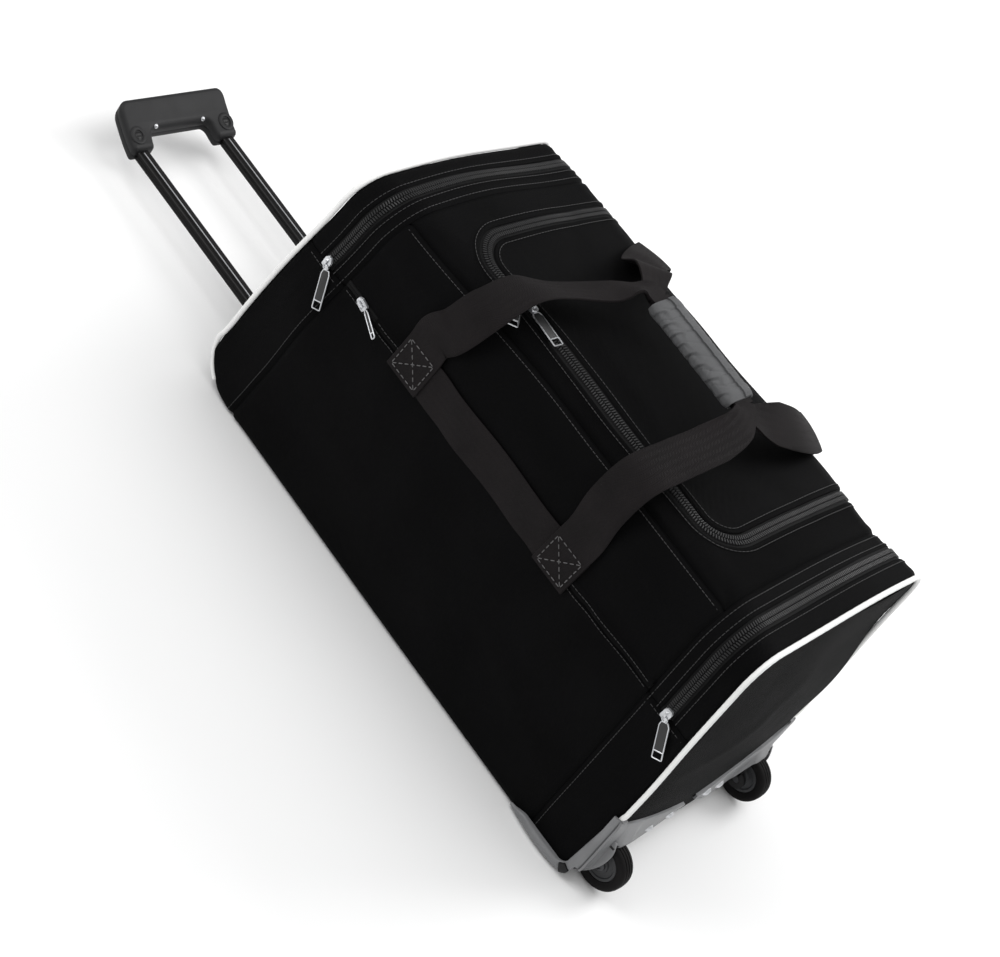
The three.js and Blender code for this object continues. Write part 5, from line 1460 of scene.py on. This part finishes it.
def tow_grip():
    """The grip: its outline stacked with a quarter circle rounding above and below and a parting line
    between, then curved up towards its bar. A lug with a screw stands over each rod."""
    bend = np.linspace(0, QUARTER, 7)
    edge, deep = GRIP_EDGE, GRIP["thick"] / 2
    insets = np.concatenate([edge * (1 - np.sin(bend)), [0.0, 0.45, 0.0]])
    heights = np.concatenate([-deep + edge * (1 - np.cos(bend)), [-0.6, 0.0, 0.6]])
    insets = np.concatenate([insets, insets[6::-1]])
    heights = np.concatenate([heights, -heights[6::-1]]) + ROD["z"]
    shape = stacked([rounded(grip_corners(), GRIP_CORNERS, inset) for inset in insets], heights)
    curve_up(made("tow_grip_moulding", shape, GRIP_PLASTIC, "tow_grip", body="tow_handle", slot="grip"))
    x = GRIP_LUG["x"]
    slope = grip_rise(x + 0.5) - grip_rise(x - 0.5)
    across = vec(0, 1, 0)
    axes = unit(vec(1, 0, slope)), across, unit(vec(-slope, 0, 1))
    parts, screws = [], []
    for side in SIDE_NAMES:
        at = vec(x, side * GRIP_LUG["y"], ROD["z"] + deep + grip_rise(x))
        angle = circle(40)
        ring = np.stack([
            np.stack([r * np.cos(angle), r * np.sin(angle), h + 0 * angle], -1) for r, h in LUG_EDGE
        ])
        parts.append(set_at(grid_part(ring, ring=True), at, *axes))
        screws.append(set_at(dome(**GRIP_SCREW), at, *axes))
    made("tow_grip_lugs", joined(*parts), GRIP_PLASTIC, body="tow_handle", slot="grip")
    made("tow_grip_screws", joined(*screws), TRIM_PLASTIC, body="tow_handle", slot="grip", weld=True)
    inside = edge * (1 - math.sqrt(0.5))
    x = GRIP["far"] + GRIP["bar"] - inside
    slope = grip_rise(x + 0.5) - grip_rise(x - 0.5)
    out = unit(vec(1 - slope, 0, 1))
    for side, face in SIDE_NAMES.items():
        at = vec(x, side * GRIP_STUD_Y, ROD["z"] + deep - inside + grip_rise(x))
        stud = set_at(dome(**GRIP_STUD), at, across, np.cross(out, across), out)
        made(
            "grip_stud_" + face, stud, NICKEL, "grip_rivet_" + face,
            body="tow_handle", slot="bright_metal", weld=True,
        )


ROD_GROOVE = ((2.6, 0.0), (2.0, -0.7), (-2.0, -0.7), (-2.6, 0.0))


def tow_rods():
    """Rods: a round-cornered tube section with a shallow groove along its upper and lower faces, and a slim
    bright nickel strip in the upper one, a painted highlight."""
    tall = ROD["tall"] / 2
    outline = rod_outline()
    right, left = outline[outline[:, 0] > 0], outline[outline[:, 0] < 0]
    up = [(x, tall + d) for x, d in ROD_GROOVE]
    down = [(-x, -tall - d) for x, d in ROD_GROOVE]
    section = np.concatenate([right, up, left, down])
    run = np.concatenate([[GRIP["near"] + 0.3], np.linspace(GRIP["near"] + 2, ROD["inner"], 20)])
    for side, face in SIDE_NAMES.items():
        made(
            "tow_tube_" + face, straight(run, side * ROD["y"], ROD["z"], section), TUBE_BLACK,
            "tow_rod_" + face, body="tow_handle", slot="tube",
        )
        # The bright nickel strip in the upper groove is a painted highlight along the rod.
        line = rounded(box_corners(-0.8, tall - 1.0, 0.8, tall - 0.35), 0.2, 0, 2)
        bright = straight(run[1:], side * ROD["y"], ROD["z"], line)
        made("tow_tube_line_" + face, bright, NICKEL, body="tow_handle", slot="bright_metal")


# A mouth plate's rim: share of the way from the hole to its outer edge, and height
MOUTH_RIM = np.array([
    (1.0, 0.4), (1.0, 2.6), (0.97, 3.4), (0.9, 3.9), (0.55, 3.9), (0.45, 4.2),
    (0.30, 5.6), (0.15, 6.0), (0.03, 5.6), (0.0, 4.8), (0.0, 0.4),
])


def mouth_plates():
    """Plates round the rods on the handle end: between the hole's outline and the plate's, a rim profile
    lifts off the end's surface, rolled at both edges."""
    half, tall = MOUTH["half"], MOUTH["tall"]
    hole = rod_outline(ROD["play"], 8)
    outer = rounded(box_corners(-half, -tall, half, tall), MOUTH["round"], 0, 8)
    share, lift = MOUTH_RIM.T[..., None]
    flat = mix(hole[None], outer[None], share[..., None])
    for side, face in SIDE_NAMES.items():
        p, n = end_skin(-1, side * ROD["y"] + flat[..., 0], ROD["z"] + flat[..., 1])
        points = p + n * lift[..., None]
        plate = grid_part(points, ring=True, loop=True)
        made("rod_mouth_" + face, plate, TRIM_PLASTIC, "mouth_plate_" + face, slot="frame")


# Wheels, and the guards at their corners

# Half sections of a tyre and a hub and the section of an axle: radius, and distance along the axle
TYRE_HALF = [
    (20.0, -8.0), (23.0, -9.2), (26.5, -10.0), (28.8, -9.5), (30.2, -7.8), (30.7, -5.6),
    (30.8, -4.6), (29.9, -4.3), (29.9, -3.5), (30.85, -3.2), (31.0, -0.8), (30.2, -0.5),
]
HUB_HALF = [
    (4.3, -9.0), (8.4, -9.0), (9.0, -8.5), (9.6, -6.4), (12.5, -6.0),
    (15.4, -6.4), (16.4, -7.6), (19.2, -7.6), (19.7, -7.1),
]
AXLE = [
    (0.0, 19.0), (4.0, 19.0), (4.0, -9.3), (7.0, -9.3), (7.0, -10.6),
    (6.2, -11.5), (3.4, -11.9), (3.0, -11.2), (0.0, -11.2),
]
TYRE_SIDES, HUB_SIDES, AXLE_SIDES = 84, 96, 32


def both_halves(profile):
    """A profile and its reflection about the wheel's middle."""
    rows = np.array(profile, float)
    return np.concatenate([rows, rows[::-1] * vec(1, -1)])


def wheels():
    """Tyres, hubs and axle caps, turned about the axle."""
    for side, face in SIDE_NAMES.items():
        at = vec(WHEEL["x"], side * WHEEL["y"], WHEEL["z"])
        axes = np.eye(3)
        tyre = set_at(turned(both_halves(TYRE_HALF), TYRE_SIDES), at, *axes)
        hub = set_at(turned(both_halves(HUB_HALF), HUB_SIDES), at, *axes)
        made("tyre_tread_" + face, tyre, TYRE_RUBBER, "tyre_" + face, body="wheel_" + face, slot="tyre")
        made("hub_disc_" + face, hub, HUB_PLASTIC, "hub_" + face, body="wheel_" + face, slot="hub")
        profile = np.array(AXLE)
        angle = circle(AXLE_SIDES)
        radius, height = profile[:, 0, None], profile[:, 1, None] * -side + 0 * angle
        points = np.stack([radius * np.cos(angle), height, radius * np.sin(angle)], -1) + at
        pin = grid_part(points, ring=True, caps=False)
        made("axle_pin_" + face, pin, DARK_STEEL, "axle_" + face, slot="bright_metal", weld=True)


def edge_drop(share, depth, power):
    """Lowering towards both edges of a strip, by a power of the share from its middle, for a round rim."""
    return depth * np.abs(2 * share - 1) ** power


def strip_swell(u):
    """How far the bumper swells out: a sine of the place along it."""
    return STRIP["swell"] * np.sin(np.pi * np.clip((u - STRIP["start"]) / (HALF - STRIP["start"]), 0, 1))


def guard_strip(side):
    """The bumper on the long wall: along the base's edge, round the wheel-end foot and up the end."""
    radius = CORNER[1]
    turn = np.linspace(0, QUARTER, 26)
    flat = np.linspace(STRIP["start"], HALF - radius, 26)[:-1]
    up = np.linspace(radius, GUARD["top"], 34)[1:]
    u = np.concatenate([flat, HALF - radius * (1 - np.sin(turn)), np.full_like(up, HALF)])[:, None]
    z = np.concatenate([0 * flat, radius * (1 - np.cos(turn)), up])[:, None]
    turn = np.concatenate([0 * flat, turn, np.full_like(up, QUARTER)])[:, None]
    share = np.linspace(0, 1, 11)
    upper = mix(STRIP["wide"], STRIP["top"], np.clip((z - radius) / (GUARD["top"] - radius), 0, 1))
    wide = mix(STRIP["narrow"], upper, rise(u, STRIP["start"], STRIP["start"] + 22))
    inward = mix(STRIP["low"], wide, share)
    along = u - inward * np.sin(turn)
    station = station_at(along, z + inward * np.cos(turn))
    p, n = bag_point(along, on_side(side, station)), bag_normal(along, on_side(side, station))
    swell = strip_swell(u)
    depth = GUARD["wall"] + swell - edge_drop(share, 1.5 + 0.4 * swell, 4)
    inner = p + n * GUARD["lift"]
    return sheet_part(inner + n * depth[..., None], inner)


def guard_wing(side):
    """The leaf on the end panel: between a foot line and a top line that meet at its tip, and flared over the
    wheel."""
    place = np.linspace(0, len(WING_FOOT_Y) - 1, 90)
    knots = np.arange(len(WING_FOOT_Y))
    foot_y, foot_z = np.interp(place, knots, WING_FOOT_Y), np.interp(place, knots, WING_FOOT_Z)
    soft = np.array([1, 2, 3, 2, 1]) / 9
    foot_z[2:-2] = np.convolve(foot_z, soft, "valid")
    run = (foot_y - GUARD["side"]) / (WING_FOOT_Y[-1] - GUARD["side"])
    top_y, top_z = mix(GUARD["side"], GUARD["tip"], run), mix(GUARD["top"], GUARD["tip_top"], run ** 0.85)
    q = spaced(45, 2.4, (0.0, 0.7, 1.6, 3.0))
    y, z = mix(foot_y[:, None], top_y[:, None], q), mix(foot_z[:, None], top_z[:, None], q)
    over = rise(y, *FLARE_Y[0]) * (1 - rise(y, *FLARE_Y[1]))
    p, n = end_skin(1, -side * y, z)
    lift = GUARD["lift"] + GUARD["wall"] - edge_drop(q, 1.3, 16)
    p = p + n * lift[..., None]
    p[..., 0] += GUARD["flare"] * over * (1 - q) ** 1.5
    return sheet_part(p, p - n * GUARD["wall"] * 0.95)


def guard_corner(side):
    """The upright edge that joins the strip to the wing: in plan, a quarter circle from the strip's face
    round the body's corner to the end's face."""
    z = np.linspace(GUARD["foot"], GUARD["top"], 50)[:, None]
    high = np.maximum(z, GUARD["foot"] + EDGE_RADIUS)
    edge = bag_point(np.full_like(z, HALF), on_side(side, station_at(np.full_like(z, HALF), high)))
    edge = edge - vec(0, 0, 1) * (edge[..., 2] - z)[..., None]
    turn = np.linspace(0, QUARTER, 14)
    thick = GUARD["lift"] + GUARD["wall"] + 0.25
    plain = np.stack([np.sin(turn), side * np.cos(turn), 0 * turn], -1)
    outer = edge - vec(1, side, 0) * GUARD["lap"] + plain * (GUARD["lap"] + thick)
    return sheet_part(outer, outer - plain * 2.2)


# Edges of a guard's cheek: heights, and how far along the bag its start and end lie there
CHEEK_Z = np.array([1.0, 9, 20, 34, 46, 62, 76])
CHEEK_START = np.array([335.0, 328, 321, 319, 321, 334, 344])
CHEEK_END = np.array([336.0, 345, 352, 357, 359, 358, 352])


def guard_cheek(side):
    """The guard's cheek outside a wheel: between two edges given at seven heights, each a smooth curve."""
    share = np.linspace(0, len(CHEEK_Z) - 1, 60)
    z, start, end = through(np.column_stack([CHEEK_Z, CHEEK_START, CHEEK_END]), share).T[..., None]
    q = spaced(40, 3.0, (0.0, 0.5, 1.1, 2.0))
    x = mix(start, end, q)
    faces = [
        np.stack([x, side * (HOUSING["side"] - drop + 0 * x), z + 0 * x], -1)
        for drop in (0.9 * q ** 24, np.full_like(q, GUARD["wall"]))
    ]
    return sheet_part(*faces)


def wheel_room(side):
    """The housing of a wheel: an arch about the axle, its inner cheek and the boss that holds the axle, open
    below and at the end."""
    turn = np.linspace(*HOUSING["arch"], 40)
    wheel = vec(WHEEL["x"], 0, WHEEL["z"])
    spoke = np.stack([np.cos(turn), 0 * turn, np.sin(turn)], -1)
    low, high = HOUSING["cheek"], HOUSING["side"]

    def level(radius, y):
        """Points at a radius about the axle and a distance from the bag's middle."""
        return wheel + spoke * radius + vec(0, y * side, 0)

    y = np.linspace(low, high, 9)
    arch = [np.stack([level(r, v) for v in y], 1) for r in (HOUSING["outer"], HOUSING["room"])]
    parts = [sheet_part(*arch)]
    radii = np.linspace(6.0, HOUSING["outer"] - 0.5, 8)
    parts.append(sheet_part(*[np.stack([level(r, v) for r in radii], 1) for v in (low + GUARD["wall"], low)]))
    wide, bore = HOUSING["boss"], HOUSING["bore"]
    boss = [(bore, low), (wide, low), (wide, low + 3.8), (wide - 1, low + 4.5), (bore, low + 4.5)]
    angle = circle(36)
    rows = [
        np.stack([WHEEL["x"] + r * np.cos(angle), h * side + 0 * angle, WHEEL["z"] + r * np.sin(angle)], -1)
        for r, h in boss
    ]
    parts.append(grid_part(np.stack(rows), ring=True, loop=True))
    return joined(*[outward(part) for part in parts])


def guards():
    """Corner guards with their wheel housings, dark inserts and slotted rivets."""
    for side, face in SIDE_NAMES.items():
        shell = guard_strip(side), guard_wing(side), guard_corner(side), guard_cheek(side)
        shell = [outward(part) for part in shell]
        made("corner_guard_" + face, joined(*shell), GUARD_PLASTIC, "guard_" + face, slot="guard")
        made("wheel_housing_" + face, wheel_room(side), TRIM_PLASTIC, slot="frame")
        share = np.linspace(0, 1, 9)
        turn = mix(*INSERT["turn"], share)[:, None]
        inward = mix(*INSERT["inward"], share)
        radius = CORNER[1]
        u = HALF - radius * (1 - np.sin(turn)) - inward * np.sin(turn)
        z = radius * (1 - np.cos(turn)) + inward * np.cos(turn)
        station = on_side(side, station_at(u, z))
        p, n = bag_point(u, station), bag_normal(u, station)
        lift = GUARD["lift"] + GUARD["wall"] + strip_swell(u) + INSERT["proud"]
        insert = sheet_part(p + n * lift[..., None], p + n * (lift - INSERT["thick"])[..., None])
        made("guard_insert_" + face, insert, TRIM_PLASTIC, slot="guard")
        for number, (y, z) in enumerate(GUARD_RIVETS, 1):
            p, n = end_skin(1, np.array(-side * y), np.array(z))
            across = unit(vec(0, 1, 0) - n * n[1])
            lean = unit(across * math.cos(RIVET_LEAN) + np.cross(n, across) * math.sin(RIVET_LEAN) * side)
            face_at = p + n * (GUARD["lift"] + GUARD["wall"])
            head = set_at(dome(**GUARD_RIVET), face_at, np.cross(lean, n), lean, n)
            node = f"guard_rivet_{face}_{number}"
            made(node + "_head", head, NICKEL, node, slot="bright_metal", weld=True)


def finish_rails():
    """The rails hidden inside keep their solids and get a plastic finish."""
    for face in SIDE_NAMES.values():
        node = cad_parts["guide_rail_" + face]
        node.data.materials.clear()
        node.data.materials.append(RAIL_PLASTIC)


# Studio, in metres: each lamp's place, the point that it faces, its size and its power in watts

LAMPS = (
    ("key_lamp", (-1.6, -1.5, 2.4), (0, 0, 0.2), 1.6, 36),
    ("back_lamp", (0.6, 2.2, 1.9), (0, 0, 0.25), 1.4, 40),
    ("fill_lamp", (2.2, -1.2, 1.4), (0.1, 0, 0.2), 1.6, 4),
    ("top_lamp", (0.3, 0.5, 3.4), (0, 0.2, 0), 2.6, 40),
)
SKY = 0.56
FLOOR_REACH = 14.0


def turn_to(obj, right, up, back, place):
    """Sets down a camera or a lamp, which looks against its back."""
    turn = np.eye(4)
    turn[:3] = np.stack([right, up, back, place], -1)
    obj.matrix_world = Matrix(turn.tolist())


def camera():
    """The photograph's view: a long lens above the front wheel corner, rolled so that the bag leans."""
    right = vec(0.58373458, 0.61883233, 0.52564293)
    down = vec(0.77627037, -0.23556381, -0.58473413)
    ahead = vec(-0.23802994, 0.74937056, -0.61788795)
    place = vec(0.52665529, -1.81379105, 1.61355642)
    data = bpy.data.cameras.new("camera")
    data.sensor_width, data.lens = 36.0, 79.1985
    data.clip_end = 60.0
    obj = linked("camera", data)
    turn_to(obj, right, -down, -ahead, place)
    bpy.context.scene.camera = obj


def soft_light(name, place, target, size, power):
    """A large square lamp turned to a point."""
    data = bpy.data.lights.new(name, "AREA")
    data.size, data.energy = size, power
    back = unit(vec(*place) - vec(*target))
    side = unit(np.cross(vec(0, 0, 1), back))
    turn_to(linked(name, data), side, np.cross(back, side), back, place)


def studio():
    """A wide pale floor, four soft lamps and a white sky."""
    corners = box_corners(-FLOOR_REACH, -FLOOR_REACH, FLOOR_REACH, FLOOR_REACH)
    mesh = bpy.data.meshes.new("floor")
    mesh.from_pydata([(x, y, 0) for x, y in corners], [], [(0, 1, 2, 3)])
    pale = Finish("pale_floor", (0.90, 0.90, 0.90), 0.7)
    pale.paint(pale.noise(1.2, 2.0), 0.99, 1.01)
    mesh.materials.append(pale.material)
    floor = linked("floor", mesh)
    for lamp in LAMPS:
        soft_light(*lamp)
    world = bpy.data.worlds.new("white_sky")
    bpy.context.scene.world = world
    world.use_nodes = True
    sky = world.node_tree.nodes["Background"]
    sky.inputs["Color"].default_value = (1, 1, 1, 1)
    sky.inputs["Strength"].default_value = SKY
    bpy.context.scene.view_settings.view_transform = "Standard"


camera()
cloth_panels()
stitches()
zips()
piping()
pulls()
carry_straps()
wrap_pad()
tow_grip()
tow_rods()
mouth_plates()
wheels()
guards()
finish_rails()
studio()
